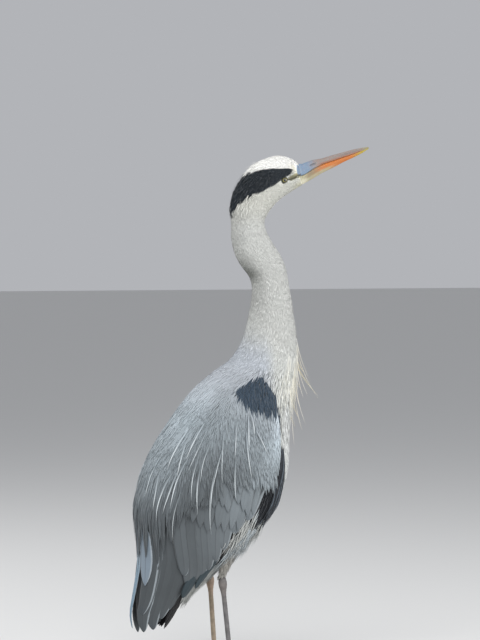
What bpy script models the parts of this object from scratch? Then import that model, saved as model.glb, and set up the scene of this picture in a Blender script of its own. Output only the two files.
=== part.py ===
# Grey heron, standing upright with folded wings: a still, life-size model.
# It faces -Y, its right side is -X, and it stands on z = 0. "Forward" below is -Y.
# The flesh is one lofted form, parted by thin gaps; the wings, plumes and tail lie over it in layers.
import math

import bmesh
import bpy
import numpy as np
from mathutils import Matrix, Vector

MM = 0.001
GAP = 0.3           # between neighbouring pieces, mm
MIDDLE = 57.3      # how far forward of the drawing's zero the middle of the whole bird is, mm

# Sections of the flesh from the rump up to the face, mm: (back forward, back up, front forward, front up,
# half width). Each is an ellipse across the body through its back and front points.
WING_END = [
    (-131, 66, -88, 70, 14),
    (-136, 90, -76, 85, 18),
    (-132, 123, -60, 109, 23),
    (-127, 153, -42, 129, 30),
]
TRUNK = [
    (-124, 184, -14, 151, 38),
    (-125, 216, 16, 170, 50),
    (-127, 252, 45, 195, 59),
    (-121, 284, 73, 225, 66),
    (-112, 312, 93, 251, 70),
    (-97, 343, 106, 281, 71),
    (-78, 374, 114, 310, 69),
    (-55, 407, 117, 352, 65),
    (-28, 442, 120, 401, 58),
    (0, 467, 126, 443, 50),
    (24, 484, 131, 477, 43),
]
NECK = [
    (39, 505, 133, 504, 36),
    (49, 530, 131, 529, 31),
    (55, 555, 127, 553, 28.5),
    (59, 577, 124, 575, 27),
    (60, 594, 120, 595, 25.5),
    (55, 612, 115, 622, 25),
    (40, 631, 107, 643, 25.5),
    (29, 653, 92, 665, 25.5),
    (25, 674, 82, 682, 24.5),
    (25, 694, 78, 696, 23.5),
]
HEAD = [
    (24, 713, 83, 709, 23),
    (26, 731, 95, 724, 23),
    (32, 749, 107, 734, 22.5),
    (41, 765, 118, 741, 21),
    (56, 783, 130, 748, 19),
    (80, 796, 138, 753, 16.5),
    (107, 801, 141, 754, 14.5),
    (127, 795, 141, 754, 12.5),
    (138, 788, 141, 754, 10),
]

# Bill, mm: (forward, top, edge where the halves meet, bottom, half width)
BILL = [
    (142, 786, 770.5, 755.5, 9.5),
    (160, 793, 781, 764.5, 8.2),
    (176, 797, 788, 773.5, 7.0),
    (195, 802.5, 793.5, 782, 5.6),
    (213, 807, 799, 791, 4.3),
    (231, 811, 804.5, 799, 3.0),
    (246, 813.4, 809.6, 806.6, 1.8),
    (254.5, 814, 812.4, 811.4, 0.8),
]
EYE = {"forward": 106.5, "up": 762.5, "side": 12.0, "radius": 7.6}

# How finely each length of the flesh is divided: (sections along it, sides round it)
FINENESS = {
    "trunk": (18, 26), "neck_lower": (6, 20), "neck_middle": (6, 20), "neck_upper": (5, 20), "head": (12, 20),
}
RUMP_ROW, KINK_ROWS, BEND_ROWS = 2, 4, 7      # where the trunk starts, and the neck's partings above the trunk
TAIL = {"sections": 7, "sides": 14, "tip": 3.3, "thin": 3.0, "inset": 0.6, "deepening": 0.6}    # mm

# The folded wing, in sections: the two angles from the back that a layer spans, and its height over the flesh, mm
WING = {
    "primaries": {"angles": (78, 129), "under": 0.9, "thick": (0.9, 2.2), "size": (6, 9)},
    "secondaries": {"angles": (10, 121), "under": 4.7, "thick": (1.0, 3.0), "size": (15, 8)},
    "coverts": {"angles": (47, 122), "under": 0.9, "thick": (1.0, 3.0), "size": (12, 8)},
    "scapulars": {"angles": (3, 44), "under": 0.9, "thick": (1.0, 3.0), "size": (8, 9)},
}
RISE_OVER_SECONDARIES = 8.5     # how much higher the coverts and scapulars lie once they are over the secondaries
CREST = {"angle": 26, "start_row": 3.6, "end_row": -1.4, "under": 0.9, "thick": (0.8, 1.8), "size": (6, 5)}
BREAST = {"angles": (150, 210), "root": 0.02, "under": 0.9, "thick": (0.9, 2.6), "down": 6}

# Legs, mm, given for the left one (+X); the right one differs only in how far forward it stands.
LEGS = {
    "left": {"side": 1, "ankle": -1.5, "foot": 8.0},
    "right": {"side": -1, "ankle": -3.0, "foot": 12.0},
}
LEG = {"spread": 28.0, "hip_forward": 26.0, "hip_up": 236.0, "ankle_up": 150.0, "foot_up": 9.0}
THIGH = {"depth": (30, 7.5), "width": (18, 6.5), "sections": 11, "sides": 16}  # added at the hip, and at the ankle
SHANK = {"depth": 3.9, "width": 3.2, "knob": 2.6, "foot_knob": 1.4, "sections": 12, "sides": 10}
HUB = {"up": 8.2, "radius": 5.6, "drop": 1.2, "clearance": 6.1, "cut_up": 7.0}   # where the toes meet
CUTTER = {"angles": (65, 136), "from": -3.0, "deep": 33.0, "size": (8, 20)}      # clears the thigh off the wing
PLUMES = [(62, 9), (95, 14), (44, 22), (80, 34), (110, 24), (66, 40), (30, 18), (88, 22), (50, 9)]  # reach, flare
TOES = [  # name, turn outward in degrees, length, radius at the root, claw length
    ("middle", 4, 78, 4.3, 13),
    ("inner", -19, 58, 4.0, 13),
    ("outer", 38, 66, 4.0, 12),
    ("hind", 185, 42, 4.0, 18),
]


def paint(name, colour, roughness):
    material = bpy.data.materials.new(name)
    material.use_nodes = True
    shader = material.node_tree.nodes["Principled BSDF"]
    shader.inputs["Base Color"].default_value = (*colour, 1)
    shader.inputs["Roughness"].default_value = roughness
    shader.inputs["Metallic"].default_value = 0.0
    return material


def place(forward, side, up):
    """A point of the drawing, in metres in the part's frame."""
    return Vector((side * MM, (MIDDLE - forward) * MM, up * MM))


def curve_through(rows):
    """A function of 0..1 that runs smoothly through the rows, with its parameter along their length."""
    rows = np.array(rows, float)
    steps = np.linalg.norm(np.diff((rows[:, 0:2] + rows[:, 2:4]) / 2, axis=0), axis=1)
    along = np.concatenate([[0], np.cumsum(steps)])
    slopes = np.gradient(rows, along, axis=0)

    def at(t):
        s = min(max(t, 0), 1) * along[-1]
        i = min(int(np.searchsorted(along, s, side="right")) - 1, len(rows) - 2)
        width = along[i + 1] - along[i]
        u = (s - along[i]) / width
        a, b = rows[i], rows[i + 1]
        return (
            a * (2 * u**3 - 3 * u**2 + 1)
            + b * (3 * u**2 - 2 * u**3)
            + slopes[i] * width * (u**3 - 2 * u**2 + u)
            + slopes[i + 1] * width * (u**3 - u**2)
        )

    def share(row):
        """How far along the whole form this row is; a half is halfway to the next row."""
        return np.interp(row, range(len(along)), along) / along[-1]

    at.length, at.share = along[-1], share
    return at


flesh = curve_through(WING_END + TRUNK + NECK + HEAD)
LAST_OF_WING, LAST_OF_TRUNK = len(WING_END), len(WING_END) + len(TRUNK)
LAST_OF_NECK = LAST_OF_TRUNK + len(NECK)


def flesh_point(t, angle, out=0.0):
    """The point at angle (0 at the back, 90 to the left, 180 at the front) on section t, raised by out mm."""
    back_f, back_z, front_f, front_z, width = flesh(t)
    middle = np.array([(back_f + front_f) / 2, (back_z + front_z) / 2])
    half = np.array([back_f, back_z]) - middle
    half *= (np.linalg.norm(half) + out) / np.linalg.norm(half)
    turn = math.radians(angle)
    spot = middle + half * math.cos(turn)
    return place(spot[0], (width + out) * math.sin(turn), spot[1])


def body_from_rings(name, rings, material):
    """One closed solid through rings of points, with flat ends, bridged with bmesh."""
    shape = bmesh.new()
    loops = [[shape.verts.new(p) for p in ring] for ring in rings]
    for near, far in zip(loops, loops[1:]):
        for i in range(len(near)):
            j = (i + 1) % len(near)
            shape.faces.new((near[i], near[j], far[j], far[i]))
    shape.faces.new(loops[0][::-1])
    shape.faces.new(loops[-1])
    return finish(name, shape, material)


def finish(name, shape, material):
    bmesh.ops.recalc_face_normals(shape, faces=shape.faces)
    mesh = bpy.data.meshes.new(name)
    shape.to_mesh(mesh)
    shape.free()
    mesh.materials.append(material)
    mesh.shade_smooth()
    mesh.set_sharp_from_angle(angle=math.radians(40))
    thing = bpy.data.objects.new(name, mesh)
    bpy.context.scene.collection.objects.link(thing)
    return thing


def length_of_flesh(name, first, last, rings, sides, material, out=0.0):
    """A length of the flesh between two sections, each end held back by half the gap."""
    hold = GAP / 2 / flesh.length
    shares = np.linspace(first + hold, last - hold, rings)
    turns = [360 * i / sides for i in range(sides)]
    return body_from_rings(name, [[flesh_point(t, a, out) for a in turns] for t in shares], material)


def layer(name, along, around, inner, thick, size, material):
    """A layer lying over the flesh: along(v) gives its two ends at v = 0..1 around it, around its two
    angles, inner(t, v) its height over the flesh at section t and thick(u) its own thickness, mm."""
    across, down = size
    sheets = ([], [])
    for i in range(across + 1):
        v = i / across
        start, end = along(v)
        angle = around[0] + (around[1] - around[0]) * v
        for sheet, top in zip(sheets, (0, 1)):
            row = []
            for j in range(down + 1):
                u = j / down
                t = start + (end - start) * u
                row.append(flesh_point(t, angle, inner(t, v) + top * thick(u)))
            sheet.append(row)
    return sheet_solid(name, sheets, material)


def sheet_solid(name, sheets, material):
    """Two grids of points, under and over, closed round their edge."""
    shape = bmesh.new()
    under, over = ([[shape.verts.new(p) for p in row] for row in sheet] for sheet in sheets)
    across, down = len(under) - 1, len(under[0]) - 1
    for i in range(across):
        for j in range(down):
            for grid in (under, over):
                corners = (grid[i][j], grid[i + 1][j], grid[i + 1][j + 1], grid[i][j + 1])
                shape.faces.new(corners if grid is over else corners[::-1])
    for i in range(across):
        for j in (0, down):
            shape.faces.new((under[i][j], under[i + 1][j], over[i + 1][j], over[i][j]))
    for j in range(down):
        for i in (0, across):
            shape.faces.new((under[i][j], under[i][j + 1], over[i][j + 1], over[i][j]))
    return finish(name, shape, material)


def teeth(v, count, deep):
    """How much a row of feather tips draws back at v: 0 at each tip, deep between two."""
    return deep * abs(2 * ((v * count) % 1) - 1) ** 2


def swell(u, low, high):
    """A thickness that rises from low at both ends to high in the middle."""
    return low + (high - low) * math.sin(math.pi * min(max(u, 0), 1)) ** 0.7


def ramp(x, start, end):
    u = min(max((x - start) / (end - start), 0), 1)
    return u * u * (3 - 2 * u)


def make_flesh(plumage):
    """Trunk, neck and head, parted where a person would name them; gives back the head."""
    share = flesh.share
    partings = [share(RUMP_ROW), share(LAST_OF_TRUNK), share(LAST_OF_TRUNK + KINK_ROWS),
                share(LAST_OF_TRUNK + BEND_ROWS), share(LAST_OF_NECK), 1.0]
    looks = [plumage["belly"], plumage["neck"], plumage["neck"], plumage["neck"], plumage["crown"]]
    lengths = []
    for (name, (rings, sides)), first, last, look in zip(FINENESS.items(), partings, partings[1:], looks):
        lengths.append(length_of_flesh(name, first, last, rings, sides, look))
    tail(TAIL["tip"] / flesh.length, share(RUMP_ROW), plumage["tail"])
    return lengths[-1]


def tail(first, last, material):
    """The tail runs on from the rump between the wing tips and thins to its end."""
    rings = []
    hold = GAP / 2 / flesh.length
    for i in range(TAIL["sections"]):
        u = i / (TAIL["sections"] - 1)
        t = first + (last - hold - first) * u
        back_f, back_z, front_f, front_z, width = flesh(t)
        middle = ((back_f + front_f) / 2, (back_z + front_z) / 2)
        deep = TAIL["thin"] + TAIL["deepening"] * math.hypot(back_f - front_f, back_z - front_z) * u**1.5
        wide = width - TAIL["inset"]
        lean = math.atan2(back_z - front_z, back_f - front_f)
        ring = []
        for k in range(TAIL["sides"]):
            turn = 2 * math.pi * k / TAIL["sides"]
            across, side = deep * math.cos(turn) / 2, wide * math.sin(turn)
            ring.append(place(middle[0] + across * math.cos(lean), side, middle[1] + across * math.sin(lean)))
        rings.append(ring)
    body_from_rings("tail", rings, material)


def make_wing(name, side, plumage):
    """One folded wing: the primaries under the secondaries, and the coverts and scapulars over both."""
    share = flesh.share
    wrist, tip = share(LAST_OF_TRUNK - 3), share(0)

    def over(t, v):
        """The height of what lies over the secondaries: down on the flesh in front of them."""
        return WING["coverts"]["under"] + RISE_OVER_SECONDARIES * ramp(-t, -wrist, -share(LAST_OF_WING + 6.5))

    def primaries_along(v):
        return share(LAST_OF_WING + 4), tip + 0.012 + teeth(v, 3, 0.012) + 0.012 * v

    def secondaries_along(v):
        return share(LAST_OF_WING + 6), tip + 0.004 + teeth(v, 5, 0.012) + 0.05 * ramp(v, 0.45, 1.0)

    def coverts_along(v):
        front = wrist - 0.035 * ramp(v, 0.55, 1.0) + 0.004 * math.sin(math.pi * v)
        return front, share(LAST_OF_WING + 2) + teeth(v, 6, 0.01) + 0.03 * ramp(v, 0.5, 1.0)

    def scapulars_along(v):
        return wrist + 0.02, share(LAST_OF_WING) + 0.04 * v + teeth(v, 4, 0.016)

    for kind, along, covers, look in (
        ("primaries", primaries_along, False, "primaries"),
        ("secondaries", secondaries_along, False, "secondaries"),
        ("coverts", coverts_along, True, "coverts"),
        ("scapulars", scapulars_along, True, "coverts"),
    ):
        form = WING[kind]
        angles = [side * angle for angle in form["angles"]]
        height = over if covers else (lambda t, v, level=form["under"]: level)
        layer(f"{kind}_{name}", along, angles, height, lambda u, thick=form["thick"]: swell(u, *thick),
              form["size"], plumage[look])


def make_breast_plumes(material):
    """Long pointed plumes that hang free from a band at the base of the neck."""
    start = flesh.share(LAST_OF_TRUNK + 0.3)
    columns = [(BREAST["root"], 0.0)]
    for reach, flare in PLUMES:
        columns += [(reach / flesh.length, flare), (BREAST["root"], 0.0)]

    def column(v):
        return columns[round(v * (len(columns) - 1))]

    def along(v):
        return start, start - column(v)[0]

    def inner(t, v):
        reach, flare = column(v)
        return BREAST["under"] + flare * ((start - t) / reach) ** 1.6

    layer("breast_plumes", along, BREAST["angles"], inner, lambda u: swell(u, *BREAST["thick"]),
          (len(columns) - 1, BREAST["down"]), material)


def make_crest(material):
    """The black plumes of the hind crown, lying down the nape."""
    start, end = (flesh.share(LAST_OF_NECK + CREST[row]) for row in ("start_row", "end_row"))

    def along(v):
        return start, end + teeth(v, 2, 0.02)

    layer("crest", along, (-CREST["angle"], CREST["angle"]), lambda t, v: CREST["under"],
          lambda u: swell(u, *CREST["thick"]), CREST["size"], material)


def half_ring(row, upper, sides):
    """A section of one half of the bill: an arch on the flat where the halves meet."""
    forward, top, edge, bottom, width = row
    level = edge + GAP / 2 if upper else edge - GAP / 2
    tall = top - level if upper else bottom - level
    ring = []
    for k in range(sides + 1):
        turn = math.pi * k / sides
        ring.append(place(forward, width * math.cos(turn), level + tall * math.sin(turn) ** 0.85))
    return ring


def make_bill(upper_horn, lower_horn):
    rows = np.array(BILL)
    steps = np.linspace(rows[0, 0], rows[-1, 0], 11)
    table = [[x, *(np.interp(x, rows[:, 0], rows[:, k]) for k in range(1, 5))] for x in steps]
    for name, upper, material in (("bill_upper", True, upper_horn), ("bill_lower", False, lower_horn)):
        body_from_rings(name, [half_ring(row, upper, 8) for row in table], material)


def cut(thing, cutter):
    """Takes the cutter's shape out of the thing."""
    cutter.hide_render = True
    cutter.display_type = "WIRE"
    hole = thing.modifiers.new(cutter.name, "BOOLEAN")
    hole.operation, hole.solver, hole.object = "DIFFERENCE", "EXACT", cutter


def ball(name, centre, radius, material):
    shape = bmesh.new()
    turn = Matrix.Translation(centre) @ Matrix.Rotation(math.pi / 2, 4, "Y")
    bmesh.ops.create_uvsphere(shape, u_segments=12, v_segments=8, radius=radius * MM, matrix=turn)
    return finish(name, shape, material)


def make_eyes(head, iris):
    for name, side in (("left", 1), ("right", -1)):
        centre = place(EYE["forward"], side * EYE["side"], EYE["up"])
        ball(f"eye_{name}", centre, EYE["radius"], iris)
        cut(head, ball(f"socket_{name}", centre, EYE["radius"] + GAP, iris))


def tube(name, stations, sides, material, floor=False):
    """A solid of round sections: (forward, side, up, half depth, half width, direction of travel)."""
    rings = []
    for centre, deep, wide, heading in stations:
        heading = heading.normalized()
        upright = abs(heading.z) > 0.5
        rise = heading.cross(Vector((1, 0, 0))).normalized() if upright else Vector((0, 0, 1))
        across = rise.cross(heading).normalized()
        ring = []
        for k in range(sides):
            turn = 2 * math.pi * (k + 0.5) / sides
            spot = centre + (across * wide * math.cos(turn) + rise * deep * math.sin(turn)) * MM
            if floor:
                spot.z = max(spot.z, 0.0)
            ring.append(spot)
        rings.append(ring)
    return body_from_rings(name, rings, material)


def make_thigh(name, leg, material, cutters):
    hip = place(LEG["hip_forward"], leg["side"] * (LEG["spread"] + 4), LEG["hip_up"])
    ankle = place(leg["ankle"], leg["side"] * LEG["spread"], LEG["ankle_up"])
    foot = place(leg["foot"], leg["side"] * LEG["spread"], LEG["foot_up"] + 5)
    (deep, deep_at_ankle), (wide, wide_at_ankle) = THIGH["depth"], THIGH["width"]
    stations = []
    for u in np.linspace(0, 1, THIGH["sections"]):
        centre = hip.lerp(ankle, u)
        heading = (ankle - hip).lerp(foot - ankle, u**2)
        half_depth, half_width = deep * (1 - u) ** 1.25 + deep_at_ankle, wide * (1 - u) ** 1.3 + wide_at_ankle
        stations.append((centre, half_depth, half_width, heading))
    thigh = tube(f"thigh_{name}", stations, THIGH["sides"], material)
    for cutter in cutters:
        cut(thigh, cutter)


def make_shank(name, leg, material):
    """The bare leg: the ankle's knob, the long shank, and its foot end."""
    top = place(leg["ankle"], leg["side"] * LEG["spread"], LEG["ankle_up"])
    end = place(leg["foot"], leg["side"] * LEG["spread"], LEG["foot_up"] + 5)
    down = end - top
    top = top + down.normalized() * GAP * MM
    stations = []
    for u in np.linspace(0, 1, SHANK["sections"]):
        knob = SHANK["knob"] * math.exp(-((u - 0.07) / 0.07) ** 2)
        knob += SHANK["foot_knob"] * math.exp(-((u - 1) / 0.08) ** 2)
        stations.append((top.lerp(end, u), SHANK["depth"] + knob, SHANK["width"] + 0.75 * knob, down))
    return tube(f"shank_{name}", stations, SHANK["sides"], material)


def make_foot(name, leg, horn, skin):
    """Three toes forward and one back, on small flats, with a claw on each."""
    hub = place(leg["foot"] + 1, leg["side"] * LEG["spread"], HUB["up"])
    toes = []
    for toe, turn, length, radius, claw in TOES:
        angle = math.radians(turn) * leg["side"]
        heading = Vector((math.sin(angle), -math.cos(angle), 0))
        stations = []
        for i in range(8):
            u = i / 7
            reach = length * u
            thick = radius * (1 - 0.38 * u) * (1 + 0.10 * math.cos(2 * math.pi * u * 3.5))
            up = thick * 0.82 + 5.0 * (1 - ramp(reach, 0, 18))
            stations.append((hub + heading * reach * MM - Vector((0, 0, hub.z - up * MM)), thick, thick, heading))
        toes.append(tube(f"toe_{toe}_{name}", stations, 8, skin, floor=True))
        make_claw(f"claw_{toe}_{name}", hub, heading, length, claw, radius * 0.62, horn)
    shape = bmesh.new()
    bmesh.ops.create_uvsphere(shape, u_segments=10, v_segments=6, radius=HUB["radius"] * MM,
                              matrix=Matrix.Translation(hub - Vector((0, 0, HUB["drop"] * MM))))
    foot = finish(f"foot_{name}", shape, skin)
    for toe in toes:
        toe.hide_render = True
        toe.display_type = "WIRE"
        joined = foot.modifiers.new(toe.name, "BOOLEAN")
        joined.operation, joined.solver, joined.object = "UNION", "EXACT", toe
    return foot


def make_claw(name, hub, heading, start, length, radius, material):
    stations = []
    for i in range(5):
        u = i / 4
        thick = radius * (1 - u) ** 0.8 * 0.86 + 0.28
        reach = start + GAP + length * u
        up = radius * 0.82 + 1.6 * math.sin(math.pi * u * 0.75) - 1.0 * u**2
        centre = hub + heading * reach * MM
        stations.append((Vector((centre.x, centre.y, max(up, thick) * MM)), thick, thick * 0.8, heading))
    return tube(name, stations, 6, material, floor=True)


def make_legs(plumage, skin, horn):
    share = flesh.share
    trunk = length_of_flesh("trunk_cutter", share(RUMP_ROW), share(LAST_OF_TRUNK), *FINENESS["trunk"],
                            plumage["belly"], out=GAP)
    for name, leg in LEGS.items():
        side = leg["side"]
        wing = layer(f"wing_cutter_{name}", lambda v: (share(LAST_OF_WING + 7), share(RUMP_ROW)),
                     [side * angle for angle in CUTTER["angles"]],
                     lambda t, v: CUTTER["from"], lambda u: CUTTER["deep"], CUTTER["size"], horn)
        make_thigh(name, leg, plumage["belly"], (trunk, wing))
        shank = make_shank(name, leg, skin[name])
        make_foot(name, leg, horn, skin[name])
        centre = place(leg["foot"] + 1, leg["side"] * LEG["spread"], HUB["cut_up"])
        cut(shank, ball(f"hub_{name}", centre, HUB["clearance"], horn))


def main():
    for thing in list(bpy.data.objects):
        bpy.data.objects.remove(thing)
    plumage = {
        "neck": paint("neck plumage", (0.55, 0.53, 0.50), 0.85),
        "crown": paint("crown plumage", (0.72, 0.71, 0.69), 0.85),
        "belly": paint("belly plumage", (0.62, 0.61, 0.60), 0.9),
        "coverts": paint("covert plumage", (0.34, 0.38, 0.42), 0.75),
        "secondaries": paint("secondary plumage", (0.12, 0.14, 0.17), 0.7),
        "primaries": paint("primary plumage", (0.025, 0.03, 0.04), 0.6),
        "tail": paint("tail plumage", (0.22, 0.25, 0.29), 0.75),
        "black": paint("black plumage", (0.02, 0.025, 0.035), 0.6),
    }
    skin = {
        "left": paint("left leg skin", (0.36, 0.27, 0.20), 0.55),
        "right": paint("right leg skin", (0.26, 0.25, 0.23), 0.55),
    }
    horn = paint("claw horn", (0.07, 0.06, 0.055), 0.4)
    head = make_flesh(plumage)
    make_eyes(head, paint("iris", (0.75, 0.50, 0.06), 0.08))
    make_bill(paint("upper bill horn", (0.30, 0.27, 0.22), 0.4), paint("lower bill horn", (0.75, 0.33, 0.07), 0.4))
    make_crest(plumage["black"])
    make_breast_plumes(plumage["neck"])
    for name, side in (("left", 1), ("right", -1)):
        make_wing(name, side, plumage)
    make_legs(plumage, skin, horn)


main()
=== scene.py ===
import math

import bmesh
import bpy
import numpy as np
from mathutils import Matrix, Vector

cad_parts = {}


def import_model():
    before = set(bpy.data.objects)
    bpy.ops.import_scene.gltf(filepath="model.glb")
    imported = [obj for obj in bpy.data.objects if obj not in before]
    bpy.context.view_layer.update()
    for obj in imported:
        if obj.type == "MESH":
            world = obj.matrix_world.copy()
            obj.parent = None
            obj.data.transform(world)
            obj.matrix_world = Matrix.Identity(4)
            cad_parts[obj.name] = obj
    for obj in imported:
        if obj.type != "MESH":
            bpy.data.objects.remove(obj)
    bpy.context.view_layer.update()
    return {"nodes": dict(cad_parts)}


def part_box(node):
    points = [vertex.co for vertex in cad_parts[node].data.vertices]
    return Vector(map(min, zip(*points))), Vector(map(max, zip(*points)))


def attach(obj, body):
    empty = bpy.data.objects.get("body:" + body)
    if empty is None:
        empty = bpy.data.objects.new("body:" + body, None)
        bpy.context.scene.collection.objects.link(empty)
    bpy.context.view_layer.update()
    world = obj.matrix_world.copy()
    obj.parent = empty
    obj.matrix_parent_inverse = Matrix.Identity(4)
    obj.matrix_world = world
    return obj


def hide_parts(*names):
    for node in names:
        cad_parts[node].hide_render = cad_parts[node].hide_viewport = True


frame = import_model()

mm = 0.001
bothSides = (("left", 1), ("right", -1))
print("frame loaded", len(frame["nodes"]), "nodes")

# the bird's form, in mm: sections from the wing tips up to the face. Each row is an ellipse's back point
# (forward, up), front point (forward, up) and half width, as in the CAD
form = {
    "sections": [
        (-131, 66, -88, 70, 14), (-136, 90, -76, 85, 18), (-132, 123, -60, 109, 23),
        (-127, 153, -42, 129, 30), (-124, 184, -14, 151, 38), (-125, 216, 16, 170, 50),
        (-127, 252, 45, 195, 59), (-121, 284, 73, 225, 66), (-112, 312, 93, 251, 70),
        (-97, 343, 106, 281, 71), (-78, 374, 114, 310, 69), (-55, 407, 117, 352, 65),
        (-28, 442, 120, 401, 58), (0, 467, 126, 443, 50), (24, 484, 131, 477, 43),
        (39, 505, 133, 504, 36), (49, 530, 131, 529, 31), (55, 555, 127, 553, 28.5),
        (59, 577, 124, 575, 27), (60, 594, 120, 595, 25.5), (55, 612, 115, 622, 25),
        (40, 631, 107, 643, 25.5), (29, 653, 92, 665, 25.5), (25, 674, 82, 682, 24.5),
        (25, 694, 78, 696, 23.5), (24, 713, 83, 709, 23), (26, 731, 95, 724, 23),
        (32, 749, 107, 734, 22.5), (41, 765, 118, 741, 21), (56, 783, 130, 748, 19),
        (80, 796, 138, 753, 16.5), (107, 801, 141, 754, 14.5), (127, 795, 141, 754, 12.5),
        (138, 788, 141, 754, 10)],
    "billTipForward": 254.5,
    "beyondTips": 40,
}
middle = form["billTipForward"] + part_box("bill_upper")[0][1] / mm    # forward of the form's zero


def smooth(x):
    x = np.clip(x, 0, 1)
    return x * x * (3 - 2 * x)


def past(x, start, over):
    return smooth((x - start) / over)


def before(x, end, over):
    return smooth((end - x) / over)


def bell(x, centre, width):
    return np.exp(-((x - centre) / width) ** 2)


def formTable():
    # the form's rows at each mm along it, on smooth curves through the sections
    sections = np.array(form["sections"], float)
    steps = np.linalg.norm(np.diff((sections[:, 0:2] + sections[:, 2:4]) / 2, axis=0), axis=1)
    along = np.concatenate([[0], np.cumsum(steps)])
    slopes = np.gradient(sections, along, axis=0)
    s = np.arange(-form["beyondTips"], along[-1] + 0.5, 1.0)
    inside = np.clip(s, 0, along[-1])
    i = np.clip(np.searchsorted(along, inside, side="right") - 1, 0, len(sections) - 2)
    step = (along[i + 1] - along[i])[:, None]
    u = (inside - along[i])[:, None] / step
    rows = (sections[i] * (2 * u**3 - 3 * u**2 + 1) + sections[i + 1] * (3 * u**2 - 2 * u**3)
            + slopes[i] * step * (u**3 - 2 * u**2 + u) + slopes[i + 1] * step * (u**3 - u**2))
    return s, rows + slopes[0] * np.minimum(s, 0)[:, None]


tableS, tableRows = formTable()


def bodyPoint(s, angle, out):
    # s mm up from the wing tips, angle from the back (left side positive), out mm off the CAD's form
    backF, backZ, frontF, frontZ, half = (np.interp(s, tableS, tableRows[:, k]) for k in range(5))
    middleF, middleZ = (backF + frontF) / 2, (backZ + frontZ) / 2
    halfF, halfZ = backF - middleF, backZ - middleZ
    long = np.sqrt(halfF**2 + halfZ**2)
    grow = np.maximum(long + out, 0.5) / long
    turn = np.radians(angle)
    forward = middleF + halfF * grow * np.cos(turn)
    up = middleZ + halfZ * grow * np.cos(turn)
    side = np.maximum(half + out, 0.5) * np.sin(turn)
    return np.stack([side, middle - forward, up], -1) * mm


roundForm = {"turns": 181, "reach": 330, "off": 3.0, "every": 2}    # the table behind angleAt, mm


def arcLength(points):
    return np.concatenate([[0], np.cumsum(np.linalg.norm(np.diff(points, axis=0), axis=1))]) / mm


def roundTable():
    # the angle reached at each mm round the body from the middle of the back, at each level
    turns = np.linspace(0, 180, roundForm["turns"])
    return np.array([
        np.interp(np.arange(roundForm["reach"]), arcLength(bodyPoint(s, turns, roundForm["off"])), turns)
        for s in tableS[::roundForm["every"]]])


angleTable = roundTable()


def angleAt(s, t):
    # the angle at t mm round from the back, on the left where t is positive
    t = np.asarray(t, float)
    i = np.clip((np.asarray(s, float) - tableS[0]) / roundForm["every"], 0, len(angleTable) - 1.001)
    i, j = np.broadcast_arrays(i, np.clip(np.abs(t), 0, roundForm["reach"] - 1.1))
    row, column = i.astype(int), j.astype(int)
    i, j = i - row, j - column
    low = angleTable[row, column] * (1 - j) + angleTable[row, column + 1] * j
    high = angleTable[row + 1, column] * (1 - j) + angleTable[row + 1, column + 1] * j
    return (low * (1 - i) + high * i) * np.where(t < 0, -1, 1)


def wingPoint(s, t, out):
    # as bodyPoint, with t mm round from the middle of the back in place of the angle
    return bodyPoint(s, angleAt(s, t), out)


# a surface, with the start and span of its two places for the OFBake map
bodyGround = (bodyPoint, (-180, 360, -45, 900))
wingGround = (wingPoint, (-330, 660, -45, 900))


# colours from 0 to 255, and the bird's markings, the same for the skin and for every feather
def linear(r, g, b):
    c = np.stack(np.broadcast_arrays(r, g, b), -1) / 255
    return np.where(c <= 0.04045, c / 12.92, ((c + 0.055) / 1.055) ** 2.4)


hues = {
    "crown": (252, 251, 247), "cheek": (212, 212, 204), "chin": (214, 212, 190), "brow": (244, 240, 220),
    "chinEdge": (190, 184, 152), "lore": (142, 139, 108), "gape": (38, 36, 28), "black": (27, 35, 42),
    "neck": (213, 214, 210), "hindNeckGreyAndShade": (126, 128, 122), "breast": (216, 218, 214),
    "whiteBreast": (236, 238, 236), "belly": (170, 178, 182), "undertail": (182, 184, 181),
    "tibia": (158, 155, 148), "flank": (32, 36, 42), "carpal": (48, 64, 79), "primary": (15, 15, 18),
    "teal": (52, 63, 68), "tail": (80, 88, 96), "paleFeather": (120, 132, 143), "bluishHighlight": (116, 138, 154),
    "silver": (220, 227, 230), "plume": (232, 226, 208),
    "shaft": (66, 68, 72), "fringe": (70, 78, 86), "margin": (172, 181, 187),
    "billBase": (114, 132, 152), "billUpper": (136, 124, 118), "billTip": (146, 148, 92),
    "billEdge": (140, 78, 42), "billDusk": (98, 90, 86), "billPale": (132, 116, 90),
    "billOrange": (184, 104, 36), "billYellow": (166, 150, 52), "billCream": (168, 162, 132),
    "iris": (134, 122, 48), "irisEdge": (70, 64, 26), "pupil": (5, 5, 6), "eyeWhite": (48, 44, 30),
    "lid": (70, 72, 54), "legNearShaded": (104, 102, 102), "legFarLit": (144, 130, 112), "legWarm": (146, 122, 106),
    "claw": (58, 54, 50),
}
hues = {key: linear(*levels) for key, levels in hues.items()}
wingShape = {   # the closed wing on the body: its lower and front edge, and how high it lies, against s
    "edge": ([30, 80, 112, 140, 167, 201, 253, 300, 340, 367, 386, 404, 419, 440],
             [116, 114, 119, 117, 119, 123, 127, 129, 128, 125, 121, 113, 99, 70]),
    "high": ([-20, 60, 150, 300, 370, 420, 465], [6.0, 7.5, 9.5, 10.0, 7.5, 3.0, 0.0]),
}
wingTone = {   # the grey of back and wing against s, darker at the side, paler along the front edge. Its rise towards the shoulders is partly the feathers' grey and partly painted light falling on them
    "level": ([0, 60, 150, 240, 320, 380, 450], [80, 86, 104, 130, 150, 163, 204]),
    "dip": 26, "dipAngle": 76, "front": 16, "back": 28, "rim": 36,
    "red": ([330, 420], [0.94, 0.972]), "blue": 1.035,
}
patchShape = {   # the blue-black patch at the bend of the wing: its lower and upper edge, against the angle
    "angle": [58, 62, 67, 75, 87, 100, 114, 120, 126],
    "low": [390, 382, 377, 371, 366, 366, 368, 366, 360],
    "high": [391, 400, 410, 420, 423, 417, 404, 396, 382],
}
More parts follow.
